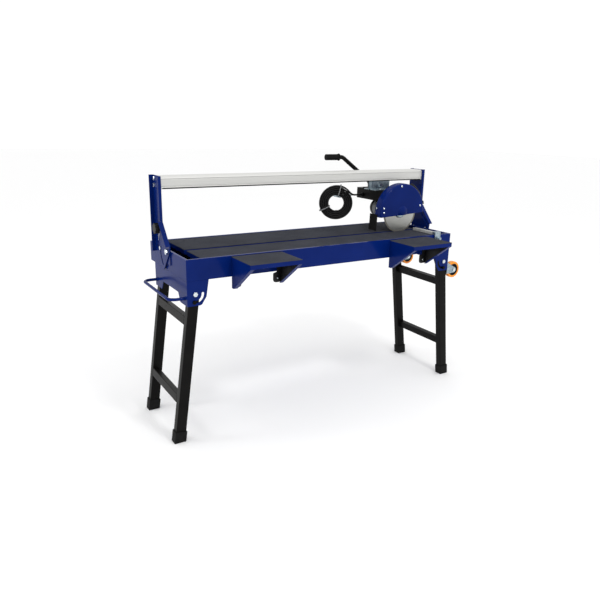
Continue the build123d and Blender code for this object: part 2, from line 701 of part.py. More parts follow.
def post():
    """Left-hand post: folded plate with a gusset, a tongue below the tilt axis and two arc slots."""
    web_x = (WEB_OUT, WEB_IN)
    pivot_y, pivot_z = PIVOT
    front_y = pivot_y + POST_FRONT
    back_y = pivot_y + POST_BACK
    nose_y = pivot_y + GUSSET_NOSE
    top = pivot_z + POST_TOP
    neck = pivot_z + GUSSET_TOP
    brow = pivot_z + GUSSET_FOOT
    heel = pivot_z + POST_BACK_FOOT
    foot = pivot_z + TONGUE_FOOT
    web = yz_sheet([
        (front_y, top), (back_y, top), (back_y, heel), (pivot_y + TONGUE_BACK, foot), (front_y, foot),
        (nose_y + POST_SHEET, pivot_z), (nose_y, brow), (front_y, neck),
    ], web_x)
    flange_x = (WEB_OUT - POST_FLANGE, WEB_IN)
    back = block(flange_x, (back_y - POST_SHEET, back_y), (heel, top))
    front_x = (WEB_OUT - POST_FRONT_FLANGE, WEB_IN)
    front = block(front_x, (front_y, front_y + POST_SHEET), (neck - POST_SHEET, top))
    run = math.hypot(front_y - nose_y, neck - brow)
    in_y = POST_SHEET * (neck - brow) / run
    in_z = -POST_SHEET * (front_y - nose_y) / run
    slope = yz_sheet([
        (front_y, neck), (nose_y, brow), (nose_y + in_y, brow + in_z), (front_y + in_y, neck + in_z),
    ], flange_x)
    plate = web + back + front + slope
    plate -= rod_x(TILT_PIN_RADIUS + RUNNING, web_x, *PIVOT)
    plate -= tilt_slot(LOCK_RADIUS, LOCK_ANGLE)
    plate -= tilt_slot(GUIDE_RADIUS, 0)
    for y, z in rail_bolt_places():
        plate -= rod_x(RAIL_BOLT + RUNNING, web_x, y, z)
    return plate


def rail_bolt_places():
    y = RAIL_BACK - RAIL_WALL - 9
    return [(y, RAIL_TOP - RAIL_WALL - 9), (y, RAIL_BOTTOM + RAIL_WALL + 9)]


def guide_rail():
    """Aluminium extrusion, open below, with screw bosses in its rear corners."""
    length = (WEB_IN, -WEB_IN)
    section = outline([
        (RAIL_FRONT, RAIL_BOTTOM), (RAIL_BACK, RAIL_BOTTOM), (RAIL_BACK, RAIL_TOP),
        (RAIL_FRONT + RAIL_BEVEL, RAIL_TOP), (RAIL_FRONT, RAIL_TOP - RAIL_BEVEL),
    ])
    inner = RAIL_WALL
    section -= outline([
        (RAIL_FRONT + inner, RAIL_BOTTOM + inner), (RAIL_BACK - inner, RAIL_BOTTOM + inner),
        (RAIL_BACK - inner, RAIL_TOP - inner), (RAIL_FRONT + RAIL_BEVEL, RAIL_TOP - inner),
        (RAIL_FRONT + inner, RAIL_TOP - RAIL_BEVEL),
    ])
    half = RAIL_SLOT / 2
    section -= outline([
        (RAIL_MIDDLE - half, RAIL_BOTTOM), (RAIL_MIDDLE + half, RAIL_BOTTOM),
        (RAIL_MIDDLE + half, RAIL_BOTTOM + inner), (RAIL_MIDDLE - half, RAIL_BOTTOM + inner),
    ])
    rail = extrude(yz_plane(length[0]) * section, amount=length[1] - length[0])
    groove_y = (RAIL_FRONT, RAIL_FRONT + 1.5)
    for z in (RAIL_BOTTOM + 9, RAIL_TOP - RAIL_BEVEL - 7):
        rail -= block(length, groove_y, (z, z + 3))
    return rail


def rail_bolts():
    """Hex bolts through the posts into threaded blocks inside the rail ends."""
    bolts = []
    for y, z in rail_bolt_places():
        bolt = rod_x(RAIL_BOLT, (WEB_OUT - 6, WEB_IN + 16), y, z)
        bolt += hex_x(17, (WEB_OUT - 6, WEB_OUT), y, z)
        bolts += [bolt, right_hand(bolt)]
    return group(*bolts)


def rail_blocks():
    """Threaded end blocks inside the rail, which are also the trolley's end stops."""
    x = (WEB_IN, WEB_IN + 16)
    y = (RAIL_BACK - RAIL_WALL - 20, RAIL_BACK - RAIL_WALL)
    end = block(x, y, (RAIL_BOTTOM + RAIL_WALL, RAIL_TOP - RAIL_WALL))
    for place in rail_bolt_places():
        end -= rod_x(RAIL_BOLT, x, *place)
    return group(end, right_hand(end))


def tilt_knob():
    """Left-hand lobed clamping knob on the lock stud."""
    y, z = around_pivot(LOCK_RADIUS, LOCK_ANGLE)
    face = WEB_OUT - SEAT_GAP
    collar = rod_x(KNOB_RADIUS * 0.5, (face - 8, face), y, z)
    head_x = (face - KNOB_LENGTH, face - 8)
    lobe_ring = KNOB_RADIUS + 4.0
    head = rod_x(KNOB_RADIUS, head_x, y, z)
    for i in range(KNOB_LOBES):
        turn = 2 * math.pi * i / KNOB_LOBES
        head -= rod_x(7.5, head_x, y + lobe_ring * math.cos(turn), z + lobe_ring * math.sin(turn))
    return head + collar - rod_x(LOCK_STUD + RUNNING, (face - KNOB_LENGTH / 2, face), y, z)


def shelf_tray(centre):
    """Folded shelf: plate, front lip, rear flange with peg notches, two gussets with slanted lips."""
    x = (centre - SHELF_WIDTH / 2, centre + SHELF_WIDTH / 2)
    sheet = SHELF_SHEET
    tray = block(x, (SHELF_FRONT, SHELF_BACK), (SHELF_PLATE - sheet, SHELF_PLATE))
    tray += block(x, (SHELF_FRONT, SHELF_FRONT + sheet), (SHELF_PLATE - SHELF_LIP, SHELF_PLATE))
    flange = block(x, (SHELF_BACK - sheet, SHELF_BACK), (SHELF_PLATE - SHELF_FLANGE, SHELF_PLATE))
    peg_z = RIM_HEIGHT - PEG_DROP
    for peg_x in (centre - PEG_SPACING / 2, centre + PEG_SPACING / 2):
        notch = PEG_RADIUS + SEAT_GAP
        flange -= block((peg_x - notch, peg_x + notch), (SHELF_BACK - sheet, SHELF_BACK), (0, peg_z))
        flange -= rod_y(notch, peg_x, (SHELF_BACK - sheet, SHELF_BACK), peg_z)
    tray += flange
    foot = SHELF_PLATE - GUSSET_HEIGHT
    toe = SHELF_BACK - GUSSET_TOE
    brow = SHELF_PLATE - SHELF_LIP
    side = [(SHELF_BACK, SHELF_PLATE), (SHELF_FRONT, SHELF_PLATE), (SHELF_FRONT, brow), (toe, foot), (SHELF_BACK, foot)]
    run = math.hypot(toe - SHELF_FRONT, brow - foot)
    in_y = sheet * (brow - foot) / run
    in_z = sheet * (toe - SHELF_FRONT) / run
    lip = [(SHELF_FRONT, brow), (toe, foot), (toe + in_y, foot + in_z), (SHELF_FRONT + in_y, brow + in_z)]
    for low, high in ((x[0], x[0] + GUSSET_LIP), (x[1] - GUSSET_LIP, x[1])):
        edge = (low, low + sheet) if low == x[0] else (high - sheet, high)
        tray += yz_sheet(side, edge)
        tray += yz_sheet(lip, (low, high))
    return tray


def shelf_mat(centre):
    x = (centre - SHELF_WIDTH / 2, centre + SHELF_WIDTH / 2)
    return block(x, (SHELF_FRONT, SHELF_BACK), (SHELF_PLATE, SHELF_TOP))


def fence_bar():
    """Aluminium stop bar lying across the front table panel."""
    x = (FENCE_X - FENCE_WIDTH / 2, FENCE_X + FENCE_WIDTH / 2)
    y = (-PANEL_SIDE, BLADE_PLANE - SLOT_WIDTH / 2 - FENCE_SLOT_GAP)
    low = TABLE_TOP + SEAT_GAP
    bar = block(x, y, (low, low + FENCE_HEIGHT))
    middle = (FENCE_X - 3, FENCE_X + 3)
    return bar - block(middle, y, (low + FENCE_HEIGHT - 4, low + FENCE_HEIGHT))


def fence_clamp():
    """Clamp over the front rim that holds the stop bar, with its thumb screw."""
    x = (FENCE_X - CLAMP_WIDTH / 2, FENCE_X + CLAMP_WIDTH / 2)
    jaw_y = (-TANK_SIDE - 9, -TANK_SIDE - 3)
    low = RIM_HEIGHT + SEAT_GAP
    head = block(x, (jaw_y[0], -PANEL_SIDE), (low, TABLE_TOP + SEAT_GAP + FENCE_HEIGHT + 4))
    jaw = block(x, jaw_y, (RIM_HEIGHT - 30, low))
    screw_z = RIM_HEIGHT - 18
    screw = rod_y(4, FENCE_X, (jaw_y[0] - 12, -TANK_SIDE - SEAT_GAP), screw_z)
    thumb = rod_y(9, FENCE_X, (jaw_y[0] - 20, jaw_y[0] - 10), screw_z)
    return head + jaw + screw + thumb


def roller_pair(x):
    """Axle with a roller pressed on each end, running on the rail's lower lips."""
    inner = TROLLEY_THICKNESS / 2 + SEAT_GAP
    gap = inner + 8
    outer = gap + ROLLER_WIDTH
    axle = ROLLER_AXLE
    half = [(0, 0), (axle, 0), (axle, inner), (axle + 3, inner), (axle + 3, gap), (ROLLER_RADIUS, gap)]
    half += [(ROLLER_RADIUS, outer), (0, outer)]
    left = turned_y([(r, RAIL_MIDDLE - y) for r, y in half], x, ROLLER_Z)
    right = turned_y([(r, RAIL_MIDDLE + y) for r, y in half], x, ROLLER_Z)
    return left + right


def trolley_block():
    """Steel bar inside the rail with a stem down through the rail's slot."""
    y = (RAIL_MIDDLE - TROLLEY_THICKNESS / 2, RAIL_MIDDLE + TROLLEY_THICKNESS / 2)
    half = TROLLEY_LENGTH / 2
    low = ROLLER_Z - TROLLEY_HEIGHT / 2 + 2
    bar = block((TROLLEY_X - half, TROLLEY_X + half), y, (low, low + TROLLEY_HEIGHT))
    stem_x = (TROLLEY_X - STEM_LENGTH / 2, TROLLEY_X + STEM_LENGTH / 2)
    stem = block(stem_x, y, (HANGER_FOOT + HANGER_SHEET, low))
    trolley = bar + stem
    for x in (TROLLEY_X - ROLLER_SPACING / 2, TROLLEY_X + ROLLER_SPACING / 2):
        trolley -= rod_y(ROLLER_AXLE + RUNNING, x, y, ROLLER_Z)
    return trolley - rod_y(HANGER_BOLT + RUNNING, TROLLEY_X, y, hanger_bolt_z())


def hanger_bolt_z():
    return HANGER_FOOT + HANGER_SHEET + HANGER_HEIGHT / 2


def hanger_x():
    return (TROLLEY_X - HANGER_LENGTH / 2, TROLLEY_X + HANGER_LENGTH / 2)


def hanger_bolt_places():
    """Four (x, y) places of the bolts from the hangers into the arm."""
    reach = TROLLEY_THICKNESS / 2 + HANGER_FLANGE - 12
    places = []
    for x in (ARM_X[0] + 16, hanger_x()[1] - 14):
        for y in (RAIL_MIDDLE - reach, RAIL_MIDDLE + reach):
            places.append((x, y))
    return places


def hanger_brackets():
    """Two zinc angles that clamp the trolley stem and carry the motor arm."""
    x = hanger_x()
    half = TROLLEY_THICKNESS / 2
    angles = []
    for side in (-1, 1):
        near = RAIL_MIDDLE + side * half
        plate_y = sorted((near, near + side * HANGER_SHEET))
        foot_y = sorted((near, near + side * HANGER_FLANGE))
        top = HANGER_FOOT + HANGER_SHEET + HANGER_HEIGHT
        angle = block(x, plate_y, (HANGER_FOOT, top))
        angle += block(x, foot_y, (HANGER_FOOT, HANGER_FOOT + HANGER_SHEET))
        angle -= rod_y(HANGER_BOLT + RUNNING, TROLLEY_X, plate_y, hanger_bolt_z())
        for bolt_x, bolt_y in hanger_bolt_places():
            angle -= rod_z(4 + RUNNING, bolt_x, bolt_y, (HANGER_FOOT, HANGER_FOOT + HANGER_SHEET))
        angles.append(angle)
    return group(*angles)


def head_bolts():
    """Cross bolt of the hangers and the four bolts into the arm."""
    half = TROLLEY_THICKNESS / 2 + HANGER_SHEET
    z = hanger_bolt_z()
    cross = rod_y(HANGER_BOLT, TROLLEY_X, (RAIL_MIDDLE - half - 8, RAIL_MIDDLE + half + 8), z)
    for low in (RAIL_MIDDLE - half - 8, RAIL_MIDDLE + half):
        cross += hex_y(19, TROLLEY_X, (low, low + 8), z)
    bolts = [cross]
    top = HANGER_FOOT + HANGER_SHEET
    for x, y in hanger_bolt_places():
        bolts.append(rod_z(4, x, y, (HANGER_FOOT - ARM_SHEET, top)) + hex_z(13, x, y, (top, top + 5)))
    return group(*bolts)


def motor_arm():
    """Black channel behind the motor plate; the plate carries motor and guard."""
    arm = block(ARM_X, ARM_Y, ARM_Z)
    inner_x = (ARM_X[0] + ARM_SHEET, ARM_X[1] - ARM_SHEET)
    inner_y = (ARM_Y[0], ARM_Y[1] - ARM_SHEET)
    arm -= block(inner_x, inner_y, (ARM_Z[0], ARM_Z[1] - ARM_SHEET))
    low = ARBOR_Z - MOTOR_RADIUS
    plate = xz_sheet([
        (ARM_X[0], ARM_Z[1]), (ARM_X[1], ARM_Z[1]), (HEAD_X + MOTOR_RADIUS + 5, ARBOR_Z), (HEAD_X + 30, low),
        (HEAD_X - 30, low), (HEAD_X - MOTOR_RADIUS - 5, ARBOR_Z), (ARM_X[0], ARM_Z[0]),
    ], PLATE_Y)
    arm += plate - rod_y(MOTOR_SPIGOT + RUNNING, HEAD_X, PLATE_Y, ARBOR_Z)
    for x, y in hanger_bolt_places():
        arm -= rod_z(4, x, y, (ARM_Z[1] - ARM_SHEET, ARM_Z[1]))
    return arm


def motor_body():
    """Cast motor housing with a front spigot and a ring of cooling ribs."""
    front, rear = MOTOR_Y
    bore = ARBOR_RADIUS + RUNNING
    inner = MOTOR_RADIUS - MOTOR_WALL
    body = turned_y([
        (bore, PLATE_Y[0]), (MOTOR_SPIGOT, PLATE_Y[0]), (MOTOR_SPIGOT, front), (MOTOR_RADIUS, front),
        (MOTOR_RADIUS, rear), (inner, rear), (inner, front + 10), (bore, front + 10),
    ], HEAD_X, ARBOR_Z)
    for i in range(6):
        low = front + 24 + i * 20
        ring = turned_y([
            (MOTOR_RADIUS - 1.5, low), (MOTOR_RADIUS, low), (MOTOR_RADIUS, low + 3), (MOTOR_RADIUS - 1.5, low + 3),
        ], HEAD_X, ARBOR_Z)
        body -= ring
    return body


def end_bell():
    """Black rear cap with a dished back and radial vents."""
    front = MOTOR_Y[1]
    rear = front + BELL_LENGTH
    bore = ARBOR_RADIUS + RUNNING
    wall = 3.0
    bell = turned_y([
        (bore, rear - wall), (bore, rear - 16), (bore + 5, rear - 16), (bore + 5, rear - wall),
        (BELL_RADIUS - wall - 4, rear - wall), (BELL_RADIUS - wall, rear - 12), (BELL_RADIUS - wall, front),
        (BELL_RADIUS, front), (BELL_RADIUS, rear - 11), (BELL_RADIUS - 8, rear), (0, rear), (0, rear - wall),
    ], HEAD_X, ARBOR_Z)
    for i in range(10):
        turn = 36.0 * i
        vent = Pos(HEAD_X, 0, ARBOR_Z) * Rot(0, turn, 0) * block((20, 36), (rear - wall, rear), (-2.5, 2.5))
        bell -= vent
    return bell


def stator():
    y = rotor_span()
    ring = rod_y(MOTOR_RADIUS - MOTOR_WALL - RUNNING, HEAD_X, y, ARBOR_Z)
    return ring - rod_y(ROTOR_RADIUS + 1.0, HEAD_X, y, ARBOR_Z)


def rotor_span():
    low = MOTOR_Y[0] + 40
    return (low, low + ROTOR_LENGTH)


def flange_stack():
    """Y places of the nut, outer flange, blade, inner flange and its hub, front to back."""
    half = BLADE_THICKNESS / 2
    blade = (BLADE_PLANE - half, BLADE_PLANE + half)
    outer = (blade[0] - FLANGE_THICKNESS, blade[0])
    nut = (outer[0] - NUT_LENGTH, outer[0])
    inner = (blade[1], blade[1] + FLANGE_THICKNESS)
    return nut, outer, blade, inner


def arbor_shaft():
    """Motor shaft with its rotor, from the nut to the rear bearing."""
    nut = flange_stack()[0]
    span = rotor_span()
    rear = MOTOR_Y[1] + BELL_LENGTH - 6
    return turned_y([
        (0, nut[0]), (ARBOR_RADIUS, nut[0]), (ARBOR_RADIUS, span[0]), (ROTOR_RADIUS, span[0]),
        (ROTOR_RADIUS, span[1]), (ARBOR_RADIUS, span[1]), (ARBOR_RADIUS, rear), (0, rear),
    ], HEAD_X, ARBOR_Z)


def blade_flanges():
    """Inner flange with the blade's seat, outer flange and hexagon nut."""
    nut, outer, blade, inner = flange_stack()
    bore = ARBOR_RADIUS + RUNNING
    rim = FLANGE_RADIUS
    inner_flange = turned_y([
        (bore, blade[0]), (BLADE_BORE - RUNNING, blade[0]), (BLADE_BORE - RUNNING, blade[1]), (rim, blade[1]),
        (rim, inner[1] - 3), (rim - 5, inner[1]), (bore + 6, inner[1]), (bore + 6, inner[1] + 5), (bore, inner[1] + 5),
    ], HEAD_X, ARBOR_Z)
    outer_flange = turned_y([
        (bore, outer[0]), (rim - 5, outer[0]), (rim, outer[0] + 3), (rim, outer[1]), (bore, outer[1]),
    ], HEAD_X, ARBOR_Z)
    hex_nut = hex_y(27, HEAD_X, nut, ARBOR_Z) - rod_y(bore, HEAD_X, nut, ARBOR_Z)
    return group(inner_flange, outer_flange, hex_nut)


def saw_blade():
    """Diamond blade: thin steel core with a thicker continuous rim."""
    radius = BLADE_DIAMETER / 2
    rim = BLADE_THICKNESS / 2
    core = BLADE_CORE / 2
    seat = FLANGE_RADIUS + 2
    y = BLADE_PLANE
    return turned_y([
        (BLADE_BORE, y - rim), (seat, y - rim), (seat, y - core), (radius - BLADE_RIM, y - core),
        (radius - BLADE_RIM, y - rim), (radius, y - rim), (radius, y + rim), (radius - BLADE_RIM, y + rim),
        (radius - BLADE_RIM, y + core), (seat, y + core), (seat, y + rim), (BLADE_BORE, y + rim),
    ], HEAD_X, ARBOR_Z)


def below_guard():
    """The space below the guard's slanted lower edge."""
    size = 4 * GUARD_RADIUS
    space = Pos(0, 0, -GUARD_CUT - size / 2) * Box(size, size, size)
    return Pos(HEAD_X, BLADE_PLANE, ARBOR_Z) * Rot(0, -GUARD_CUT_TILT, 0) * space


def guard_cover():
    """Spun front half of the guard with a rounded rim and a dome over the nut."""
    front, back = GUARD_Y
    sheet = GUARD_SHEET
    bend = GUARD_ROUND
    radius = GUARD_RADIUS
    rim_turn = math.sin(math.radians(45))
    outer_mid = (radius - bend + bend * rim_turn, front + bend - bend * rim_turn)
    inner_bend = bend - sheet
    inner_mid = (radius - bend + inner_bend * rim_turn, front + bend - inner_bend * rim_turn)
    dome_mid = (DOME_RADIUS * 0.55, front - DOME_HEIGHT * 0.72)
    inner_dome_mid = (DOME_RADIUS * 0.55, front + sheet - DOME_HEIGHT * 0.72)
    edges = [
        ThreePointArc((0, front - DOME_HEIGHT), dome_mid, (DOME_RADIUS, front)),
        Line((DOME_RADIUS, front), (radius - bend, front)),
        ThreePointArc((radius - bend, front), outer_mid, (radius, front + bend)),
        Line((radius, front + bend), (radius, back)),
        Line((radius, back), (radius - sheet, back)),
        Line((radius - sheet, back), (radius - sheet, front + bend)),
        ThreePointArc((radius - sheet, front + bend), inner_mid, (radius - bend, front + sheet)),
        Line((radius - bend, front + sheet), (DOME_RADIUS, front + sheet)),
        ThreePointArc((DOME_RADIUS, front + sheet), inner_dome_mid, (0, front + sheet - DOME_HEIGHT)),
        Line((0, front + sheet - DOME_HEIGHT), (0, front - DOME_HEIGHT)),
    ]
    section = Plane(origin=(HEAD_X, 0, ARBOR_Z), x_dir=(1, 0, 0), z_dir=(0, 0, 1)) * make_face(edges)
    shell = revolve(section, axis=Axis((HEAD_X, 0, ARBOR_Z), (0, 1, 0)), revolution_arc=360)
    return shell - below_guard()


def guard_left():
    return HEAD_X - GUARD_RADIUS


def guard_back():
    """Flat rear half of the guard with a bent tab for the splash flap."""
    y = (GUARD_Y[1], GUARD_Y[1] + GUARD_SHEET)
    plate = rod_y(GUARD_RADIUS, HEAD_X, y, ARBOR_Z) - below_guard()
    plate -= rod_y(MOTOR_SPIGOT + RUNNING, HEAD_X, y, ARBOR_Z)
    left = guard_left()
    tab_z = (ARBOR_Z - FLAP_TOP - 22, ARBOR_Z - FLAP_TOP)
    return plate + block((left, left + GUARD_SHEET), (y[0], y[0] + FLAP_WIDTH - 20), tab_z)


def splash_flap():
    """Rubber sheet behind the blade that stops the spray."""
    left = guard_left()
    back = GUARD_Y[1] + FLAP_WIDTH - 20
    return block((left - FLAP_SHEET, left), (back - FLAP_WIDTH, back), (TABLE_TOP + FLAP_GAP, ARBOR_Z - FLAP_TOP))


def water_feed():
    """Rigid feed pipe round the guard's shoulder, with an inlet spigot and a nozzle block."""
    middle = GUARD_RADIUS + FEED_RADIUS + 1.0
    y = BLADE_PLANE - 8
    arc = CenterArc((0, 0), middle, FEED_START, FEED_END - FEED_START)
    path = xz_plane(y, HEAD_X, ARBOR_Z) * arc
    pipe = sweep(Plane(path @ 0, z_dir=path % 0) * Circle(FEED_RADIUS), path=path)
    fittings = []
    for angle in (FEED_START, FEED_END):
        stub = block((GUARD_RADIUS - 4, middle + FEED_RADIUS + 1), (-8, 8), (-9, 9))
        fittings.append(Pos(HEAD_X, y, ARBOR_Z) * Rot(0, -angle, 0) * stub)
    return pipe + fittings[0] + fittings[1] - rod_y(GUARD_RADIUS, HEAD_X, (y - 9, y + 9), ARBOR_Z)


def handle_bar():
    """Bent steel tube bolted to the arm behind the rail."""
    length, width, thickness = BAR_BASE
    base_z = ARM_Z[1] + thickness
    base_x = (BAR_X - length / 2, BAR_X + length / 2)
    base = block(base_x, (BAR_Y - width / 2, BAR_Y + width / 2), (ARM_Z[1], base_z))
    neck = GRIP_END + GRIP_LENGTH + BAR_RADIUS / 2
    points = [
        (BAR_X, BAR_Y, base_z), (BAR_X, BAR_Y, base_z + BAR_STAND),
        (neck, BAR_Y, BAR_RISE), (GRIP_END + GRIP_RADIUS / 4, BAR_Y, BAR_RISE),
    ]
    return base + bent_rod(points, BAR_RADIUS, BAR_BEND)


def handle_grip():
    """Rubber grip with finger grooves and an end collar."""
    start = GRIP_END
    end = GRIP_END + GRIP_LENGTH - BAR_BEND / 2
    collar = GRIP_RADIUS / 3
    pitch = (end - start - 3 * collar) / GRIP_GROOVES
    grip = rod_x(GRIP_RADIUS, (start, end), BAR_Y, BAR_RISE)
    for i in range(GRIP_GROOVES):
        low = start + 1.5 * collar + i * pitch
        ring = rod_x(GRIP_RADIUS * 1.1, (low, low + pitch / 3), BAR_Y, BAR_RISE)
        grip -= ring - rod_x(GRIP_RADIUS * 0.9, (low, low + pitch / 3), BAR_Y, BAR_RISE)
    grip += rod_x(GRIP_RADIUS * 1.12, (end - collar, end), BAR_Y, BAR_RISE)
    return grip - rod_x(BAR_RADIUS, (start + GRIP_RADIUS / 4, end), BAR_Y, BAR_RISE)


def cord_hook():
    """Bent rod on the arm that carries the hank of the lead."""
    x = ARM_X[0] + HOOK_INSET
    hook_x = COIL_CENTRE[0] + HOOK_RADIUS
    points = [
        (x, ARM_Y[1], HOOK_Z), (x, HOOK_Y, HOOK_Z), (hook_x, HOOK_Y, HOOK_Z), (hook_x, HOOK_Y - HOOK_REACH, HOOK_Z),
    ]
    return bent_rod(points, HOOK_RADIUS, HOOK_BEND)


def switch_box():
    """Switch housing on the arm's right side with a recess for the rocker."""
    x = (ARM_X[1], ARM_X[1] + BOX_DEPTH)
    back = ARM_Y[1] - BOX_REAR_GAP
    y = (back - BOX_LENGTH, back)
    middle_z = sum(ARM_Z) / 2
    z = (middle_z - BOX_HEIGHT / 2, middle_z + BOX_HEIGHT / 2)
    box = block(x, y, z)
    box = fillet(box.edges().filter_by(Axis.X), 5)
    middle_y = sum(y) / 2
    half_y = ROCKER_WIDTH / 2 + ROCKER_GAP
    half_z = ROCKER_LENGTH / 2 + ROCKER_GAP
    recess_x = (x[1] - ROCKER_DEPTH - 3, x[1])
    return box - block(recess_x, (middle_y - half_y, middle_y + half_y), (middle_z - half_z, middle_z + half_z))


def rocker_pivot():
    """The (x, y, z) middle of the rocker's axle, which runs along Y."""
    return (ARM_X[1] + BOX_DEPTH - 3, ARM_Y[1] - BOX_REAR_GAP - BOX_LENGTH / 2, sum(ARM_Z) / 2)


def rocker():
    """Rocker key, tipped to its off side at rest."""
    half = ROCKER_LENGTH / 2
    key = xz_sheet([
        (-4, -half + 1), (4, -half), (1, 0), (4, half), (-4, half - 1),
    ], (-ROCKER_WIDTH / 2, ROCKER_WIDTH / 2))
    return Pos(*rocker_pivot()) * Rot(0, -ROCKER_TIP, 0) * key


def cord_gland():
    """Nut and tapered strain relief where the lead leaves the arm."""
    x, y, z = GLAND_TIP
    face = ARM_X[0]
    nut = hex_x(22, (face - GLAND_NUT, face), y, z)
    boot = Plane(origin=(face - GLAND_NUT, y, z), x_dir=(0, 1, 0), z_dir=(-1, 0, 0)) * Circle(CORD_RADIUS + 4)
    tip = Plane(origin=(x, y, z), x_dir=(0, 1, 0), z_dir=(-1, 0, 0)) * Circle(CORD_RADIUS + 1.5)
    return nut + loft([boot, tip])


def cord_lead():
    """Short free stretch of the lead from the gland to the hank."""
    points = [Vector(*p) for p in CORD_ROUTE]
    radii = []
    for before, here, after in zip(points, points[1:], points[2:]):
        turn = (here - before).get_angle(after - here)
        run = min((here - before).length, (after - here).length)
        radii.append(0.45 * run / math.tan(math.radians(turn / 2)))
    print("lead bend radii", [round(r, 1) for r in radii])
    path = FilletPolyline(*CORD_ROUTE, radius=radii)
    return sweep(Plane(path @ 0, z_dir=path % 0) * Circle(CORD_RADIUS), path=path)


def at_coil(shape):
    """Place a shape drawn about the hank's own middle, with the hank's axis along Y."""
    return Pos(*COIL_CENTRE) * Rot(0, 0, -COIL_TURN) * shape


def cord_coil():
    """Outer shape of the wound lead."""
    half = COIL_THICKNESS / 2
    ring = rod_y(COIL_OUTER, 0, (-half, half), 0) - rod_y(COIL_INNER, 0, (-half, half), 0)
    ring = fillet(ring.edges().filter_by(GeomType.CIRCLE), half * 0.7)
    return at_coil(ring)


def cord_plug():
    """Moulded plug behind the hank, with its tail against the hank."""
    length, depth, height = PLUG_SIZE
    back = COIL_THICKNESS / 2
    y = back + SEAT_GAP + depth / 2
    z = -(COIL_OUTER + COIL_INNER) / 2 + CORD_RADIUS
    body = block((0, length), (y - depth / 2, y + depth / 2), (z - height / 2, z + height / 2))
    body = fillet(body.edges().filter_by(Axis.X), depth / 3)
    wide = Plane(origin=(0, y, z), x_dir=(0, 1, 0), z_dir=(-1, 0, 0)) * Circle(depth * 0.4)
    narrow = Plane(origin=(-PLUG_RELIEF, y, z), x_dir=(0, 1, 0), z_dir=(-1, 0, 0)) * Circle(CORD_RADIUS + 1)
    plug = body + loft([wide, narrow])
    for pin in (z - height / 4, z + height / 4):
        plug += rod_x(CORD_RADIUS / 2, (length, length + PLUG_PIN), y, pin)
    ring = -z
    tail = [(-PLUG_RELIEF, y, z)]
    for turn, step in ((35.0, 0.12), (52.0, 0.5), (70.0, 1.1)):
        angle = math.radians(turn)
        tail.append((-ring * math.sin(angle), y - step * depth / 2, -ring * math.cos(angle)))
    tail[-1] = (tail[-1][0], back - CORD_RADIUS, tail[-1][2])
    path = FilletPolyline(*tail, radius=5 * CORD_RADIUS)
    return at_coil(plug + sweep(Plane(path @ 0, z_dir=path % 0) * Circle(CORD_RADIUS), path=path))


def build():
    """Every node's name and shape, about the middle of the tank."""
    nodes = {
        "water_tank": water_tank(),
        "drain_plug": drain_plug(),
        "table_supports": table_supports(),
        "table_panels": table_panels(),
        "table_mats": table_mats(),
        "water_pump": water_pump(),
        "left_leg_bracket": leg_bracket(),
        "right_leg_bracket": right_hand(leg_bracket()),
        "carry_handle": carry_handle(),
        "wheel_forks": wheel_forks(),
        "frame_bolts": frame_bolts(),
        "tilt_stays": group(tilt_stay(), right_hand(tilt_stay())),
        "fence_bar": fence_bar(),
        "fence_clamp": fence_clamp(),
        "left_legs": legs(),
        "left_braces": braces(),
        "left_feet": feet(),
        "right_legs": right_hand(legs()),
        "right_braces": right_hand(braces()),
        "right_feet": right_hand(feet()),
        "left_post": post(),
        "right_post": right_hand(post()),
        "guide_rail": guide_rail(),
        "rail_bolts": rail_bolts(),
        "rail_end_blocks": rail_blocks(),
        "left_tilt_knob": tilt_knob(),
        "right_tilt_knob": right_hand(tilt_knob()),
        "trolley_block": trolley_block(),
        "left_roller_pair": roller_pair(TROLLEY_X - ROLLER_SPACING / 2),
        "right_roller_pair": roller_pair(TROLLEY_X + ROLLER_SPACING / 2),
        "hanger_brackets": hanger_brackets(),
        "head_bolts": head_bolts(),
        "motor_arm": motor_arm(),
        "motor_body": motor_body(),
        "motor_end_bell": end_bell(),
        "motor_stator": stator(),
        "arbor_shaft": arbor_shaft(),
        "blade_flanges": blade_flanges(),
        "saw_blade": saw_blade(),
        "guard_cover": guard_cover(),
        "guard_back_plate": guard_back(),
        "splash_flap": splash_flap(),
        "water_feed_pipe": water_feed(),
        "handle_bar": handle_bar(),
        "handle_grip": handle_grip(),
        "cord_hook": cord_hook(),
        "switch_box": switch_box(),
        "rocker_switch": rocker(),
        "cord_gland": cord_gland(),
        "cord_lead": cord_lead(),
        "cord_coil": cord_coil(),
        "cord_plug": cord_plug(),
    }
    for place, y in WHEEL_YS.items():
        nodes[f"{place}_wheel_tyre"] = wheel_tyre(y)
        nodes[f"{place}_wheel_hub"] = wheel_hub(y)
    for place, centre in SHELF_CENTRES.items():
        nodes[f"{place}_shelf_tray"] = shelf_tray(centre)
        nodes[f"{place}_shelf_mat"] = shelf_mat(centre)
    return nodes


def middle():
    """The (x, y) middle of the saw's box, from the pieces that reach furthest."""
    splay = math.radians(LEG_SPLAY)
    foot = LEG_PIVOT_X - LEG_PIVOT_Z * math.tan(splay) - (LEG_WIDTH / 2 + FOOT_WALL) / math.cos(splay)
    left = min(foot, -TANK_END - HANDLE_REACH - HANDLE_TUBE)
    right = max(-foot, WHEEL_X + WHEEL_RADIUS)
    front = SHELF_FRONT
    back = HOOK_Y + HOOK_RADIUS
    return ((left + right) / 2, (front + back) / 2)


os.makedirs("parts", exist_ok=True)
mid_x, mid_y = middle()
print("moved by", -mid_x, -mid_y)
for name, shape in build().items():
    export_step(Pos(-mid_x, -mid_y, 0) * shape, f"parts/{name}.step")
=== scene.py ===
"""Looks of a wet bridge tile saw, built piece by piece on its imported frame.

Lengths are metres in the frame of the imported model: X along the rail, Y to the back, Z up.
"""
import json
import math

import bpy
from mathutils import Matrix, Vector

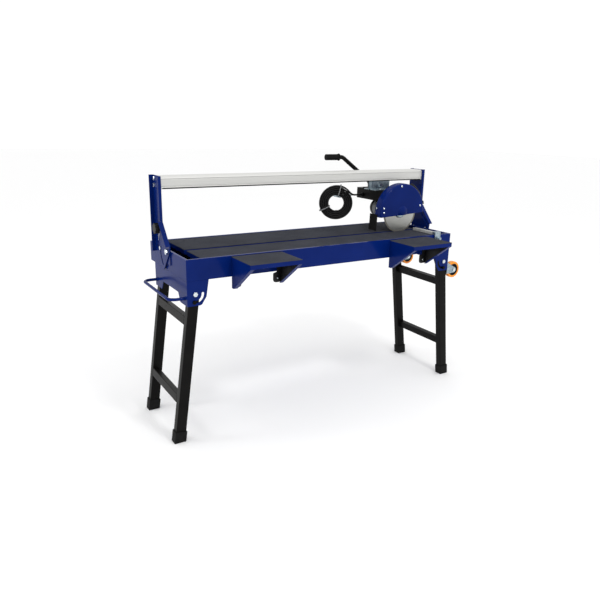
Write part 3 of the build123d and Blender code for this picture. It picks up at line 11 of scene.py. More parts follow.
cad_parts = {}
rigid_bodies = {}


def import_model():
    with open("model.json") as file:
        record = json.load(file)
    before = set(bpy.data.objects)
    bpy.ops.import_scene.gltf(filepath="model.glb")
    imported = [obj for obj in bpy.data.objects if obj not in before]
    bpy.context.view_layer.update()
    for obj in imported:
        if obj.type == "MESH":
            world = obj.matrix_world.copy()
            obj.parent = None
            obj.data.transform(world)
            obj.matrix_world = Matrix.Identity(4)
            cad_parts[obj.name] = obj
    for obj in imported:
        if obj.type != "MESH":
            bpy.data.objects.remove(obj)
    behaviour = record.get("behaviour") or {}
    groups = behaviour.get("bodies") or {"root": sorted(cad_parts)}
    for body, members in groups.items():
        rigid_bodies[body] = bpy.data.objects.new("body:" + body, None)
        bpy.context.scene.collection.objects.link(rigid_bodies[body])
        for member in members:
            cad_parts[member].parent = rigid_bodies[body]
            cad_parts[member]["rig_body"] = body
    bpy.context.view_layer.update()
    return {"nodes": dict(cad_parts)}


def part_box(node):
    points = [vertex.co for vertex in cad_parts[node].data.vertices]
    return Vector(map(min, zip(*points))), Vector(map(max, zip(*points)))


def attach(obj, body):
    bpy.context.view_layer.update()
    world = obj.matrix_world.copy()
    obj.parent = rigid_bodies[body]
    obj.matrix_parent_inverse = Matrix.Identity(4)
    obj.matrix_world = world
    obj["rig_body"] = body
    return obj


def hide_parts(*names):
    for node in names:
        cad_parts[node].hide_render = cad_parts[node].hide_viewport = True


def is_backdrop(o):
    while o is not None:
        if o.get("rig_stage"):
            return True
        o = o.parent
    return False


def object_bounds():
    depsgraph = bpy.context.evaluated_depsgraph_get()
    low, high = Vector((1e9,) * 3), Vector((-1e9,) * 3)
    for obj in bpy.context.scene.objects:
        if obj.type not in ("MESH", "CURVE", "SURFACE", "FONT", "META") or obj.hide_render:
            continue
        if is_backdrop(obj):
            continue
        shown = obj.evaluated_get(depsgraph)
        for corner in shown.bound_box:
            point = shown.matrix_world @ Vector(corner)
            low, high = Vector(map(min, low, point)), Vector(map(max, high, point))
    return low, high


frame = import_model()
nodes = frame["nodes"]
bpy.ops.object.select_all(action="DESELECT")


# Water tank
# A trough folded and welded from sheet steel, with a rim turned inwards.
# The whole of it is powder coated in one glossy blue.
def linear(colour):
    """An sRGB hex colour as the linear values that a shader takes."""
    values = [int(colour[i:i + 2], 16) / 255 for i in (1, 3, 5)]
    values = [v / 12.92 if v <= 0.04045 else ((v + 0.055) / 1.055) ** 2.4 for v in values]
    return (*values, 1.0)


def add(tree, kind, settings=None, values=None, links=None):
    """Adds a node with its settings, its input values and the sockets linked to its inputs."""
    node = tree.nodes.new(kind)
    for name, value in (settings or {}).items():
        setattr(node, name, value)
    for name, value in (values or {}).items():
        node.inputs[name].default_value = value
    for name, socket in (links or {}).items():
        tree.links.new(socket, node.inputs[name])
    return node


def begin(name, roughness, metallic=0.0, specular=0.5):
    """A new material and its shader."""
    material = bpy.data.materials.new(name)
    material.use_nodes = True
    shader = material.node_tree.nodes["Principled BSDF"]
    shader.inputs["Roughness"].default_value = roughness
    shader.inputs["Metallic"].default_value = metallic
    shader.inputs["Specular IOR Level"].default_value = specular
    return material, shader


def blend_colours(tree, fac, first, second):
    """A colour ramp between two hex colours, driven by a socket."""
    ramp = add(tree, "ShaderNodeValToRGB", links={"Fac": fac})
    ramp.color_ramp.elements[0].position = 0.3
    ramp.color_ramp.elements[1].position = 0.7
    ramp.color_ramp.elements[0].color = linear(first)
    ramp.color_ramp.elements[1].color = linear(second)
    return ramp.outputs["Color"]


def speckle(shader, scale, detail=2.0, stretch=None):
    """Noise over the piece's own coordinates, with another scale along each axis if one is given."""
    tree = shader.id_data
    vector = add(tree, "ShaderNodeTexCoord").outputs["Object"]
    if stretch:
        mapping = add(tree, "ShaderNodeMapping", values={"Scale": stretch}, links={"Vector": vector})
        vector = mapping.outputs["Vector"]
    values = {"Scale": scale, "Detail": detail}
    return add(tree, "ShaderNodeTexNoise", values=values, links={"Vector": vector}).outputs["Fac"]


def colour(shader, fac, first, second):
    """Colours a shader between two hex colours."""
    tree = shader.id_data
    tree.links.new(blend_colours(tree, fac, first, second), shader.inputs["Base Color"])


def emboss(shader, height, strength, distance):
    """Raises a fine relief on a shader."""
    tree = shader.id_data
    values = {"Strength": strength, "Distance": distance}
    bump = add(tree, "ShaderNodeBump", values=values, links={"Height": height})
    tree.links.new(bump.outputs["Normal"], shader.inputs["Normal"])


def wear(shader, fac, smooth, rough):
    """Varies a shader's roughness between two values."""
    tree = shader.id_data
    rub = add(tree, "ShaderNodeMapRange", values={"To Min": smooth, "To Max": rough}, links={"Value": fac})
    tree.links.new(rub.outputs["Result"], shader.inputs["Roughness"])


def finish(piece, material):
    """Gives a piece one material all over."""
    piece.data.materials.clear()
    piece.data.materials.append(material)
    for face in getattr(piece.data, "polygons", ()):
        face.material_index = 0


def eased(name, width, material, angle=32):
    """Shows a copy of a CAD piece with its edges rounded, as a press brake or a file leaves them."""
    piece = bpy.data.objects.new(f"{name}_eased", nodes[name].data.copy())
    bpy.context.scene.collection.objects.link(piece)
    bpy.ops.object.select_all(action="DESELECT")
    bpy.context.view_layer.objects.active = piece
    piece.select_set(True)
    bpy.ops.object.mode_set(mode="EDIT")
    bpy.ops.mesh.select_all(action="SELECT")
    bpy.ops.mesh.remove_doubles(threshold=0.00001)
    bpy.ops.mesh.dissolve_limited(angle_limit=math.radians(1.0))
    bpy.ops.object.mode_set(mode="OBJECT")
    bevel = piece.modifiers.new("edge", "BEVEL")
    bevel.width = width
    bevel.segments = 2
    bevel.limit_method = "ANGLE"
    bevel.angle_limit = math.radians(angle)
    bevel.use_clamp_overlap = False
    bpy.ops.object.modifier_apply(modifier="edge")
    bpy.ops.object.shade_smooth_by_angle(angle=math.radians(angle))
    normals = piece.modifiers.new("normals", "WEIGHTED_NORMAL")
    normals.keep_sharp = True
    bpy.ops.object.modifier_apply(modifier="normals")
    finish(piece, material)
    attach(piece, nodes[name]["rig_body"])
    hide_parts(name)
    return piece


# Polyester powder coat flows to a gloss with a faint orange peel. Peel of 2 mm is drawn at 5 mm to show.
blue_coat, shader = begin("blue_powder_coat", 0.26, specular=0.04)
cloud = speckle(shader, 7.0, 3.0)
colour(shader, cloud, "#021a5a", "#051f64")
peel = speckle(shader, 200.0, 1.0)
emboss(shader, peel, 0.08, 0.0004)
shader.inputs["Coat Weight"].default_value = 0.08
shader.inputs["Coat Roughness"].default_value = 0.08

eased("water_tank", 0.0009, blue_coat)


# Table and its rubber mats
# Two inverted steel trays on cross channels, with a slot between them for the blade.
# Each tray has a ribbed rubber sheet bonded to its top.
def select_faces(piece, test):
    """Enters edit mode with the faces selected whose middle and normal pass the test."""
    bpy.ops.object.mode_set(mode="EDIT")
    bpy.ops.mesh.select_mode(type="FACE")
    bpy.ops.mesh.select_all(action="DESELECT")
    bpy.ops.object.mode_set(mode="OBJECT")
    for face in piece.data.polygons:
        face.select = test(face.center, face.normal)
    bpy.ops.object.mode_set(mode="EDIT")


def settle(name):
    """Names the active piece and moves its place into its mesh."""
    piece = bpy.context.object
    piece.name = name
    bpy.ops.object.transform_apply(location=True, rotation=True, scale=True)
    return piece


def ribbed_mat(name, low, high, rib, height):
    """A rubber sheet between two corners, with ribs along X on its top."""
    strips = 2 * round((high.y - low.y) / (2 * rib)) + 1
    width = high.y - low.y
    bpy.ops.object.select_all(action="DESELECT")
    bpy.ops.mesh.primitive_grid_add(x_subdivisions=1, y_subdivisions=strips, size=1.0)
    mat = bpy.context.object
    mat.scale = (high.x - low.x, width, 1.0)
    mat.location = ((low.x + high.x) / 2, (low.y + high.y) / 2, low.z)
    settle(name)
    select_faces(mat, lambda middle, normal: True)
    bpy.ops.mesh.extrude_region_move(TRANSFORM_OT_translate={"value": (0, 0, high.z - low.z - height)})
    bpy.ops.mesh.select_all(action="SELECT")
    bpy.ops.mesh.normals_make_consistent(inside=False)
    base = high.z - height
    step = width / strips
    select_faces(mat, lambda m, n: n.z > 0.9 and m.z > base - 0.0002 and int((m.y - low.y) / step) % 2 == 0)
    bpy.ops.mesh.extrude_region_move(TRANSFORM_OT_translate={"value": (0, 0, height)})
    bpy.ops.object.mode_set(mode="OBJECT")
    return mat


# Sheet rubber scatters light from a chalky skin, dusted a little grey by use.
ribbed_rubber, shader = begin("ribbed_sheet_rubber", 0.78, specular=0.15)
dust = speckle(shader, 9.0, 6.0)
colour(shader, dust, "#30323a", "#3b3d45")
grit = speckle(shader, 900.0)
emboss(shader, grit, 0.2, 0.0003)

eased("table_panels", 0.0008, blue_coat)
eased("table_supports", 0.0006, blue_coat)
low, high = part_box("table_mats")
slot_front, slot_back = 0.036, 0.066
rib, rib_height = 0.006, 0.0008
for name, start, end in (("front_table_mat", low.y, slot_front), ("rear_table_mat", slot_back, high.y)):
    mat = ribbed_mat(name, Vector((low.x, start, low.z)), Vector((high.x, end, high.z)), rib, rib_height)
    finish(mat, ribbed_rubber)
    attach(mat, "base")
    if start == low.y:
        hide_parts("table_mats")


# Pump and drain
# A submersible pump stands on the tank floor, and a rubber bung closes the drain hole.
# Both are moulded black and sit out of sight under the table.
# Moulded nylon and ABS have a fine spark texture that breaks the gloss. Grit of 0.2 mm is drawn at 1 mm.
black_plastic, shader = begin("moulded_black_plastic", 0.48, specular=0.25)
spark = speckle(shader, 1000.0, 2.0)
colour(shader, spark, "#0b0b0c", "#131315")
emboss(shader, spark, 0.25, 0.0002)

# Moulded rubber of feet, flap and bung is more matt than the plastic, with a faint bloom.
moulded_rubber, shader = begin("moulded_rubber", 0.7, specular=0.12)
bloom = speckle(shader, 60.0, 4.0)
colour(shader, bloom, "#0e0e0e", "#161616")
emboss(shader, bloom, 0.15, 0.0004)

eased("water_pump", 0.001, black_plastic)
eased("drain_plug", 0.001, moulded_rubber)


# Leg brackets and carry handle
# Folded brackets under each end of the tank, with arc slots for the leg locks.
# The left one has a bent tube welded on for carrying.
eased("left_leg_bracket", 0.0008, blue_coat)
eased("right_leg_bracket", 0.0008, blue_coat)
finish(nodes["carry_handle"], blue_coat)


def weld_ring(name, middle, radius, bead):
    """A painted fillet weld round a tube end that stands on a face square to X."""
    bpy.ops.object.select_all(action="DESELECT")
    bpy.ops.mesh.primitive_torus_add(
        major_radius=radius, minor_radius=bead, major_segments=48, minor_segments=8,
        location=middle, rotation=(0, math.radians(90), 0))
    ring = settle(name)
    for vertex in ring.data.vertices:
        around = math.atan2(vertex.co.z - middle[2], vertex.co.y - middle[1])
        vertex.co.x += bead * 0.18 * math.sin(14 * around)
    bpy.ops.object.shade_smooth()
    return ring


low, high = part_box("carry_handle")
tube = (high.z - low.z) / 2
bead = 0.0022
for name, y in (("front_handle_weld", low.y + tube), ("rear_handle_weld", high.y - tube)):
    ring = weld_ring(name, (high.x - 0.0008, y, low.z + tube), tube + 0.0006, bead)
    finish(ring, blue_coat)
    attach(ring, "base")


# Folding legs
# Rectangular steel tube in satin black, welded to two cross tubes on each side.
# Rubber caps close the lower ends and stand flat on the floor.
# Satin powder coat over tube: nearly black, with a warm sheen on broad faces.
black_coat, shader = begin("black_powder_coat", 0.38, specular=0.08)
cloud = speckle(shader, 14.0, 4.0)
colour(shader, cloud, "#090808", "#100f0e")
peel = speckle(shader, 260.0)
emboss(shader, peel, 0.15, 0.0004)

for side in ("left", "right"):
    eased(f"{side}_legs", 0.0022, black_coat)
    eased(f"{side}_braces", 0.002, black_coat)
    eased(f"{side}_feet", 0.0018, moulded_rubber)


# Transport wheels
# Orange polyurethane tyres on black nylon centres, in pressed zinc forks.
# They only touch the floor when the saw is tipped on its end.
# Cast polyurethane is smooth and slightly waxy, and its colour varies a little as it flowed.
orange_tyre, shader = begin("cast_orange_polyurethane", 0.35)
flow = speckle(shader, 40.0, 2.0)
colour(shader, flow, "#e87c0c", "#f5a31e")
shader.inputs["Subsurface Weight"].default_value = 0.15
shader.inputs["Subsurface Radius"].default_value = (0.004, 0.0015, 0.0005)

# Bright zinc plate is a pale blue-grey metal, clouded where the plating bath left it uneven.
zinc, shader = begin("zinc_plated_steel", 0.34, 1.0)
cloud = speckle(shader, 90.0, 5.0)
colour(shader, cloud, "#7f909a", "#b4c0c6")
wear(shader, cloud, 0.26, 0.44)

# Bolts and screws are barrel polished before plating, so they are brighter than the pressed brackets.
bright_zinc, shader = begin("bright_zinc_fasteners", 0.24, 1.0)
cloud = speckle(shader, 140.0, 3.0)
colour(shader, cloud, "#c3ccd1", "#e4eaed")

eased("wheel_forks", 0.0007, zinc)
for place in ("front", "rear"):
    finish(nodes[f"{place}_wheel_tyre"], orange_tyre)
    eased(f"{place}_wheel_hub", 0.0008, black_plastic)


# Front shelves
# Folded trays with triangular sides, hung by notches on pegs of the tank wall.
# A ribbed rubber sheet like the table's lies on each.
for side in ("left", "right"):
    eased(f"{side}_shelf_tray", 0.0007, blue_coat)
    low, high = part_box(f"{side}_shelf_mat")
    mat = ribbed_mat(f"{side}_shelf_ribbed_mat", low, high, rib, rib_height)
    finish(mat, ribbed_rubber)
    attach(mat, f"{side}_shelf")
    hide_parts(f"{side}_shelf_mat")


def pan_screw(name, middle, radius, turn=0.0):
    """A pan-head screw with a driver slot, facing the operator unless it is turned about Z."""
    bpy.ops.object.select_all(action="DESELECT")
    bpy.ops.mesh.primitive_cylinder_add(
        vertices=24, radius=radius, depth=radius * 0.7, rotation=(math.radians(90), 0, 0))
    screw = settle(name)
    select_faces(screw, lambda m, n: n.y < -0.9)
    bpy.ops.mesh.inset(thickness=radius * 0.3)
    bpy.ops.transform.translate(value=(0, -radius * 0.25, 0))
    bpy.ops.mesh.inset(thickness=radius * 0.3)
    bpy.ops.transform.resize(value=(1.2, 1.0, 0.45), center_override=(0, -radius * 0.6, 0))
    bpy.ops.mesh.extrude_region_move(TRANSFORM_OT_translate={"value": (0, radius * 0.3, 0)})
    bpy.ops.object.mode_set(mode="OBJECT")
    bpy.ops.object.shade_smooth_by_angle(angle=math.radians(35))
    screw.data.transform(Matrix.Translation(middle) @ Matrix.Rotation(turn, 4, "Z"))
    finish(screw, bright_zinc)
    return screw


def moulded_plate(outline, thick):
    """A plate with the given corners, pushed out by the given step and rounded at its edges."""
    bpy.ops.object.select_all(action="DESELECT")
    bpy.ops.mesh.primitive_circle_add(vertices=len(outline), radius=0.1, fill_type="NGON")
    plate = bpy.context.object
    for vertex, place in zip(plate.data.vertices, outline):
        vertex.co = place
    select_faces(plate, lambda m, n: True)
    bpy.ops.mesh.extrude_region_move(TRANSFORM_OT_translate={"value": thick})
    bpy.ops.mesh.select_all(action="SELECT")
    bpy.ops.mesh.normals_make_consistent(inside=False)
    bpy.ops.object.mode_set(mode="OBJECT")
    bevel = plate.modifiers.new("edge", "BEVEL")
    bevel.width = 0.0012
    bevel.segments = 2
    bpy.ops.object.modifier_apply(modifier="edge")
    return plate


# A black moulded corner sits at each side of a shelf, with a foot that rests on the tank wall, and a black
# cheek over the side that is painted shade.
# The foot narrows to a neck above, which leaves room for the pegs when the shelf is lifted.
tray_sheet, moulding, foot_width, neck = 0.0022, 0.006, 0.043, 0.024
for side in ("left", "right"):
    low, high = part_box(f"{side}_shelf_tray")
    rear, base = high.y - 0.0003, low.z + 0.0018
    foot = [(0.0, 0.0), (foot_width - 0.012, 0.0), (foot_width - 0.0035, 0.0035), (foot_width, 0.012),
            (foot_width, 0.044), (neck, 0.05), (neck, 0.092), (0.0, 0.092)]
    # The cheek is a black plate over the side's inner face: painted shade, standing in for the shade under
    # the shelf.
    shade_cheek = [(rear - moulding, base + 0.0005), (rear - 0.0162, base + 0.0005),
             (low.y + 0.013, high.z - 0.0252), (low.y + 0.013, high.z - 0.005),
             (rear - moulding, high.z - 0.005)]
    for hand, edge, inward in (("inner", low.x + tray_sheet, 1), ("outer", high.x - tray_sheet, -1)):
        corner = moulded_plate([(edge + x * inward, rear, base + z) for x, z in foot], (0, -moulding, 0))
        moulded_plate([(edge, y, z) for y, z in shade_cheek], (0.004 * inward, 0, 0))
        corner.select_set(True)
        bpy.context.view_layer.objects.active = corner
        bpy.ops.object.join()
        settle(f"{side}_shelf_{hand}_corner")
        bpy.ops.object.shade_smooth_by_angle(angle=math.radians(35))
        finish(corner, black_plastic)
        place = (edge + 0.0205 * inward, rear - 0.0065, base + 0.0206)
        screw = pan_screw(f"{side}_shelf_{hand}_screw", place, 0.0045)
        for piece in (corner, screw):
            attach(piece, f"{side}_shelf")


# End fence
# An aluminium bar that lies across the front panel, with a clamp over the rim.
# The clamp is pressed from steel and zinc plated, with a thumb screw.
# Anodised extrusion: a fine satin grain along its length that stretches the highlights.
# Grain of 0.3 mm is drawn at 2 mm.
anodised, shader = begin("anodised_aluminium", 0.5, 0.6)
grain = speckle(shader, 1.0, 3.0, stretch=(3.0, 500.0, 500.0))
colour(shader, grain, "#c6c6c3", "#cececb")
wear(shader, grain, 0.46, 0.54)

eased("fence_bar", 0.0008, anodised)
eased("fence_clamp", 0.0012, zinc)


# Tilting posts
# Plates welded to the tank ends carry a pin and two studs; the folded posts turn on the pins.
# Arc slots in the posts slide on the studs, and a black knob clamps each side.
eased("tilt_stays", 0.0007, blue_coat)
eased("left_post", 0.0009, blue_coat)
eased("right_post", 0.0009, blue_coat)
eased("left_tilt_knob", 0.0014, black_plastic)
eased("right_tilt_knob", 0.0014, black_plastic)
eased("frame_bolts", 0.0005, bright_zinc)


# Guide rail
# A natural anodised aluminium box section, open below for the trolley.
# It is bolted between the posts through blocks in its ends.
eased("guide_rail", 0.0012, anodised)
eased("rail_bolts", 0.0005, bright_zinc)
finish(nodes["rail_end_blocks"], zinc)

# A thin black strip along the foot of the front face is painted shade: it stands in for the shade under the
# rail's lower edge.
low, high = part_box("guide_rail")
bpy.ops.object.select_all(action="DESELECT")
bpy.ops.mesh.primitive_cube_add(size=1.0)
shade_strip = bpy.context.object
shade_strip.scale = (high.x - low.x - 0.016, 0.0013, 0.0052)
shade_strip.location = ((low.x + high.x) / 2, low.y, low.z + 0.0028)
settle("rail_painted_shade_strip")
finish(shade_strip, moulded_rubber)
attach(shade_strip, "bridge")


# Trolley and hangers
# A steel bar on rollers runs inside the rail; zinc angles hang the motor arm from its stem.
# Only the angles and their bolts show below the rail.
finish(nodes["trolley_block"], zinc)
finish(nodes["left_roller_pair"], zinc)
finish(nodes["right_roller_pair"], zinc)
eased("hanger_brackets", 0.0008, zinc)
eased("head_bolts", 0.0005, bright_zinc)


# Motor
# A folded black arm with a front plate, a grey die-cast motor and a black fan cap behind it.
# The stator and the rotor are inside.
# Die-cast aluminium under grey enamel, slightly pebbled.
grey_enamel, shader = begin("grey_enamel_on_casting", 0.4)
pebble = speckle(shader, 320.0, 3.0)
colour(shader, pebble, "#65686b", "#75787b")
emboss(shader, pebble, 0.3, 0.0004)

# Stacked electrical steel, dull and slightly rusty between its sheets of half a millimetre, drawn at 4 mm.
lamination, shader = begin("stacked_electrical_steel", 0.55, 0.8)
tree = shader.id_data
where = add(tree, "ShaderNodeTexCoord").outputs["Object"]
sheets = add(tree, "ShaderNodeTexWave", {"bands_direction": "Y"}, {"Scale": 80.0}, {"Vector": where})
colour(shader, sheets.outputs["Fac"], "#4a4039", "#6e655c")

eased("motor_arm", 0.0012, black_coat)
eased("motor_body", 0.0008, grey_enamel)
eased("motor_end_bell", 0.001, black_plastic)
finish(nodes["motor_stator"], lamination)
finish(nodes["arbor_shaft"], zinc)
eased("switch_box", 0.0012, black_plastic)

# Polished red polycarbonate of the rocker.
red_plastic, shader = begin("red_polycarbonate", 0.2)
flow = speckle(shader, 120.0)
colour(shader, flow, "#9a0d10", "#a81517")
eased("rocker_switch", 0.0008, red_plastic)


# Blade
# A ground steel disc with a sintered diamond rim, clamped between turned flanges.
# Grinding leaves rings about the arbor, and the rim is darker and coarser.
arbor = sum(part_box("saw_blade"), Vector()) / 2
blade_steel, shader = begin("ground_blade_steel", 0.38, 1.0)
tree = shader.id_data
where = add(tree, "ShaderNodeTexCoord").outputs["Object"]
centred = add(tree, "ShaderNodeMapping", values={"Location": -arbor}, links={"Vector": where})
flat = add(tree, "ShaderNodeVectorMath", {"operation": "MULTIPLY"}, links={0: centred.outputs["Vector"]})
flat.inputs[1].default_value = (1.0, 0.0, 1.0)
length = add(tree, "ShaderNodeVectorMath", {"operation": "LENGTH"}, links={0: flat.outputs["Vector"]})
reach = length.outputs["Value"]
rings = add(
    tree, "ShaderNodeTexNoise", {"noise_dimensions": "1D"}, {"Scale": 900.0, "Detail": 4.0}, {"W": reach})
ground = blend_colours(tree, rings.outputs["Fac"], "#a2a29e", "#bebeb9")
rim = add(tree, "ShaderNodeMapRange", values={"From Min": 0.105, "From Max": 0.107}, links={"Value": reach})
band = rim.outputs["Result"]
sinter = blend_colours(tree, speckle(shader, 800.0, 3.0), "#6d6b67", "#98958c")
mixed = add(tree, "ShaderNodeMix", {"data_type": "RGBA"}, links={"Factor": band, 6: ground, 7: sinter})
tree.links.new(mixed.outputs[2], shader.inputs["Base Color"])
wear(shader, band, 0.34, 0.6)

finish(nodes["saw_blade"], blade_steel)
eased("blade_flanges", 0.0006, zinc)


# Blade guard
# A spun steel cover with a dome over the nut and a flat plate behind it, both blue.
# Pan-head screws hold the cover to the plate.
eased("guard_cover", 0.0007, blue_coat, angle=40)
eased("guard_back_plate", 0.0006, blue_coat)

# The places of the screws are measured from the arbor.
face = arbor.y - 0.026
for i, (x, z) in enumerate(((-0.02, 0.141), (0.124, 0.03), (-0.136, 0.026), (-0.134, 0.002))):
    screw = pan_screw(f"guard_screw_{i + 1}", (arbor.x + x, face - 0.001, arbor.z + z), 0.0052)
    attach(screw, "head")
low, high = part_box("guard_cover")
place = (low.x - 0.0008, face + 0.036, arbor.z + 0.024)
screw = pan_screw("guard_rim_screw", place, 0.0048, math.radians(-90))
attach(screw, "head")


# Splash flap and water feed
# A rubber sheet hangs behind the blade to catch the spray, fixed to a tab of the guard plate.
# A black pipe on the guard's shoulder brings the water.
low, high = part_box("splash_flap")
bpy.ops.object.select_all(action="DESELECT")
bpy.ops.mesh.primitive_grid_add(
    x_subdivisions=10, y_subdivisions=14, size=1.0, rotation=(0, math.radians(90), 0))
flap = bpy.context.object
flap.scale = (high.z - low.z, high.y - low.y, 1.0)
flap.location = ((low.x + high.x) / 2, (low.y + high.y) / 2, (low.z + high.z) / 2)
settle("splash_sheet")
for vertex in flap.data.vertices:
    drop = (high.z - vertex.co.z) / (high.z - low.z)
    across = (vertex.co.y - low.y) / (high.y - low.y)
    vertex.co.x += -0.005 * drop ** 2 + 0.0012 * math.sin(math.pi * across) * drop
solid = flap.modifiers.new("sheet", "SOLIDIFY")
solid.thickness = high.x - low.x
solid.offset = 0.0
bpy.ops.object.modifier_apply(modifier="sheet")
bpy.ops.object.shade_smooth_by_angle(angle=math.radians(40))
finish(flap, moulded_rubber)
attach(flap, "head")
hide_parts("splash_flap")
eased("water_feed_pipe", 0.0008, black_plastic)


# Handle bar and grip
# A bent black tube bolted to the arm, with a push-on rubber grip.
# The grip has ribs along it and a collar that keeps the hand from sliding off.
finish(nodes["handle_bar"], black_coat)
low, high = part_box("handle_grip")
middle = (low + high) / 2
radius = (high.z - low.z) / 2 / 1.12
bpy.ops.object.select_all(action="DESELECT")
bpy.ops.mesh.primitive_cylinder_add(
    vertices=72, radius=radius * 0.95, depth=high.x - low.x,
    location=middle, rotation=(0, math.radians(90), 0))
grip = settle("ribbed_grip")


def on_rib(middle, normal):
    """Tells whether a face is on every other strip of 5 degrees round the grip."""
    return abs(normal.x) < 0.5 and int(math.degrees(math.atan2(normal.z, normal.y)) % 360 // 5) % 2 == 0


select_faces(grip, on_rib)
bpy.ops.mesh.extrude_faces_move(TRANSFORM_OT_shrink_fatten={"value": -0.0008})
bpy.ops.object.mode_set(mode="OBJECT")
select_faces(grip, lambda m, n: n.x < -0.9)
bpy.ops.mesh.inset(thickness=0.003)
bpy.ops.transform.translate(value=(-0.0005, 0, 0))
bpy.ops.object.mode_set(mode="OBJECT")
bpy.ops.object.shade_smooth_by_angle(angle=math.radians(30))
finish(grip, moulded_rubber)
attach(grip, "head")
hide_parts("handle_grip")
bpy.ops.object.select_all(action="DESELECT")
bpy.ops.mesh.primitive_torus_add(
    major_radius=radius * 0.98, minor_radius=radius * 0.16, major_segments=64, minor_segments=12,
    location=(high.x - 0.003, middle.y, middle.z), rotation=(0, math.radians(90), 0))
collar = settle("grip_collar")
bpy.ops.object.shade_smooth()
finish(collar, moulded_rubber)
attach(collar, "head")


# Power lead
# A black rubber-sheathed lead leaves the arm through a gland and is wound into a hank on a bent rod.
# Its far end is a moulded plug behind the hank, and two nylon ties hold the turns.
eased("cord_hook", 0.0004, zinc)
eased("cord_gland", 0.0006, black_plastic)

turned = math.radians(31.6)
across = Vector((math.cos(turned), -math.sin(turned), 0.0))
behind = Vector((math.sin(turned), math.cos(turned), 0.0))
hank = sum(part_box("cord_coil"), Vector()) / 2


def on_hank(u, n, z):
    """A place about the middle of the hank: across it, behind it and up, in millimetres."""
    return hank + (across * u + behind * n + Vector((0, 0, z))) / 1000


def wound(turn, radius, depth):
    """A place on a turn of the hank; the shared waver keeps neighbouring turns apart."""
    reach = radius * (1 + 0.009 * math.sin(2 * turn + 1.0) + 0.005 * math.sin(3 * turn + 2.2))
    return on_hank(reach * math.cos(turn), depth + math.sin(2 * turn + 0.5), reach * math.sin(turn))


low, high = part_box("cord_gland")
route = [Vector((low.x, (low.y + high.y) / 2, (low.z + high.z) / 2))]
run_in = [(111.7, 21.7, 44.0), (100.2, 14.6, 44.3), (88.2, 6.0, 48.5), (75.8, -3.8, 59.3),
          (60.5, -10.6, 75.5), (36.6, -12.8, 91.4)]
route += [on_hank(*place) for place in run_in]
angle = math.radians(90)
# Each stretch: its turns, its radius at start and end and its depth at start and end, in millimetres.
stretches = [
    (4.68, 97.0, 47.5, -12.5, -12.5),
    (0.5, 47.5, 47.5, -12.5, 0.0),
    (3.95, 47.5, 89.4, 0.0, 0.0),
    (0.5, 89.4, 89.4, 0.0, 12.5),
    (1.3422, 89.4, 73.6, 12.5, 12.5),
    (0.3861, 73.6, 76.0, 12.5, 27.5),
]
for turns, start, end, near, far in stretches:
    count = round(turns * (24 if turns < 0.45 else 16))
    for i in range(count):
        share = i / count
        route.append(wound(angle, start + (end - start) * share, near + (far - near) * share))
        angle += math.tau * turns / count
run_out = [(-61.3, 28.8, -45.2), (-50.0, 30.3, -55.8), (-35.9, 32.6, -63.0), (-20.9, 33.3, -66.5),
           (-12, 33.3, -66.5)]
route += [on_hank(*place) for place in run_out]

curve = bpy.data.curves.new("power_lead", "CURVE")
curve.dimensions = "3D"
curve.bevel_depth = 0.005
curve.bevel_resolution = 4
curve.resolution_u = 4
spline = curve.splines.new("NURBS")
spline.points.add(len(route) - 1)
for point, place in zip(spline.points, route):
    point.co = (*place, 1.0)
spline.order_u = 3
spline.use_endpoint_u = True
lead = bpy.data.objects.new("power_lead", curve)
bpy.context.scene.collection.objects.link(lead)

# Rubber sheath, extruded: smooth and faintly shiny, with scuffs.
sheath, shader = begin("rubber_cable_sheath", 0.5, specular=0.3)
scuff = speckle(shader, 70.0, 5.0)
colour(shader, scuff, "#090909", "#121213")
wear(shader, scuff, 0.4, 0.62)
curve.materials.append(sheath)

# The plug: a rounded body, a ribbed tail and two round pins.
bpy.ops.object.select_all(action="DESELECT")
bpy.ops.mesh.primitive_cube_add(size=1.0)
plug = bpy.context.object
plug_back, plug_drop = 0.0333, -0.0665
plug.scale = (0.042, 0.026, 0.036)
plug.location = (0.021, plug_back, plug_drop)
settle("moulded_plug")
select_faces(plug, lambda m, n: n.x < -0.9)
bpy.ops.mesh.extrude_region_move(TRANSFORM_OT_translate={"value": (-0.006, 0, 0)})
bpy.ops.transform.resize(value=(1.0, 0.72, 0.6), center_override=(-0.006, plug_back, plug_drop))
for i in range(4):
    bpy.ops.mesh.extrude_region_move(TRANSFORM_OT_translate={"value": (-0.002, 0, 0)})
    bpy.ops.transform.resize(value=(1.0, 0.84, 0.84), center_override=(0, plug_back, plug_drop))
    bpy.ops.mesh.extrude_region_move(TRANSFORM_OT_translate={"value": (-0.004, 0, 0)})
    bpy.ops.transform.resize(value=(1.0, 1.06, 1.06), center_override=(0, plug_back, plug_drop))
bpy.ops.mesh.select_all(action="SELECT")
bpy.ops.mesh.normals_make_consistent(inside=False)
bpy.ops.object.mode_set(mode="OBJECT")
bevel = plug.modifiers.new("edge", "BEVEL")
bevel.width = 0.003
bevel.segments = 3
bevel.limit_method = "ANGLE"
bevel.angle_limit = math.radians(40)
bpy.ops.object.modifier_apply(modifier="edge")
bpy.ops.object.shade_smooth_by_angle(angle=math.radians(40))
finish(plug, black_plastic)
pins = []
for z in (plug_drop - 0.009, plug_drop + 0.009):
    bpy.ops.object.select_all(action="DESELECT")
    bpy.ops.mesh.primitive_cylinder_add(
        vertices=24, radius=0.0024, depth=0.019,
        location=(0.0515, plug_back, z), rotation=(0, math.radians(90), 0))
    pin = settle(f"plug_pin_{len(pins) + 1}")
    select_faces(pin, lambda m, n: n.x > 0.9)
    bpy.ops.mesh.inset(thickness=0.0009)
    bpy.ops.transform.translate(value=(0.0008, 0, 0))
    bpy.ops.object.mode_set(mode="OBJECT")
    bpy.ops.object.shade_smooth_by_angle(angle=math.radians(40))
    finish(pin, zinc)
    pins.append(pin)

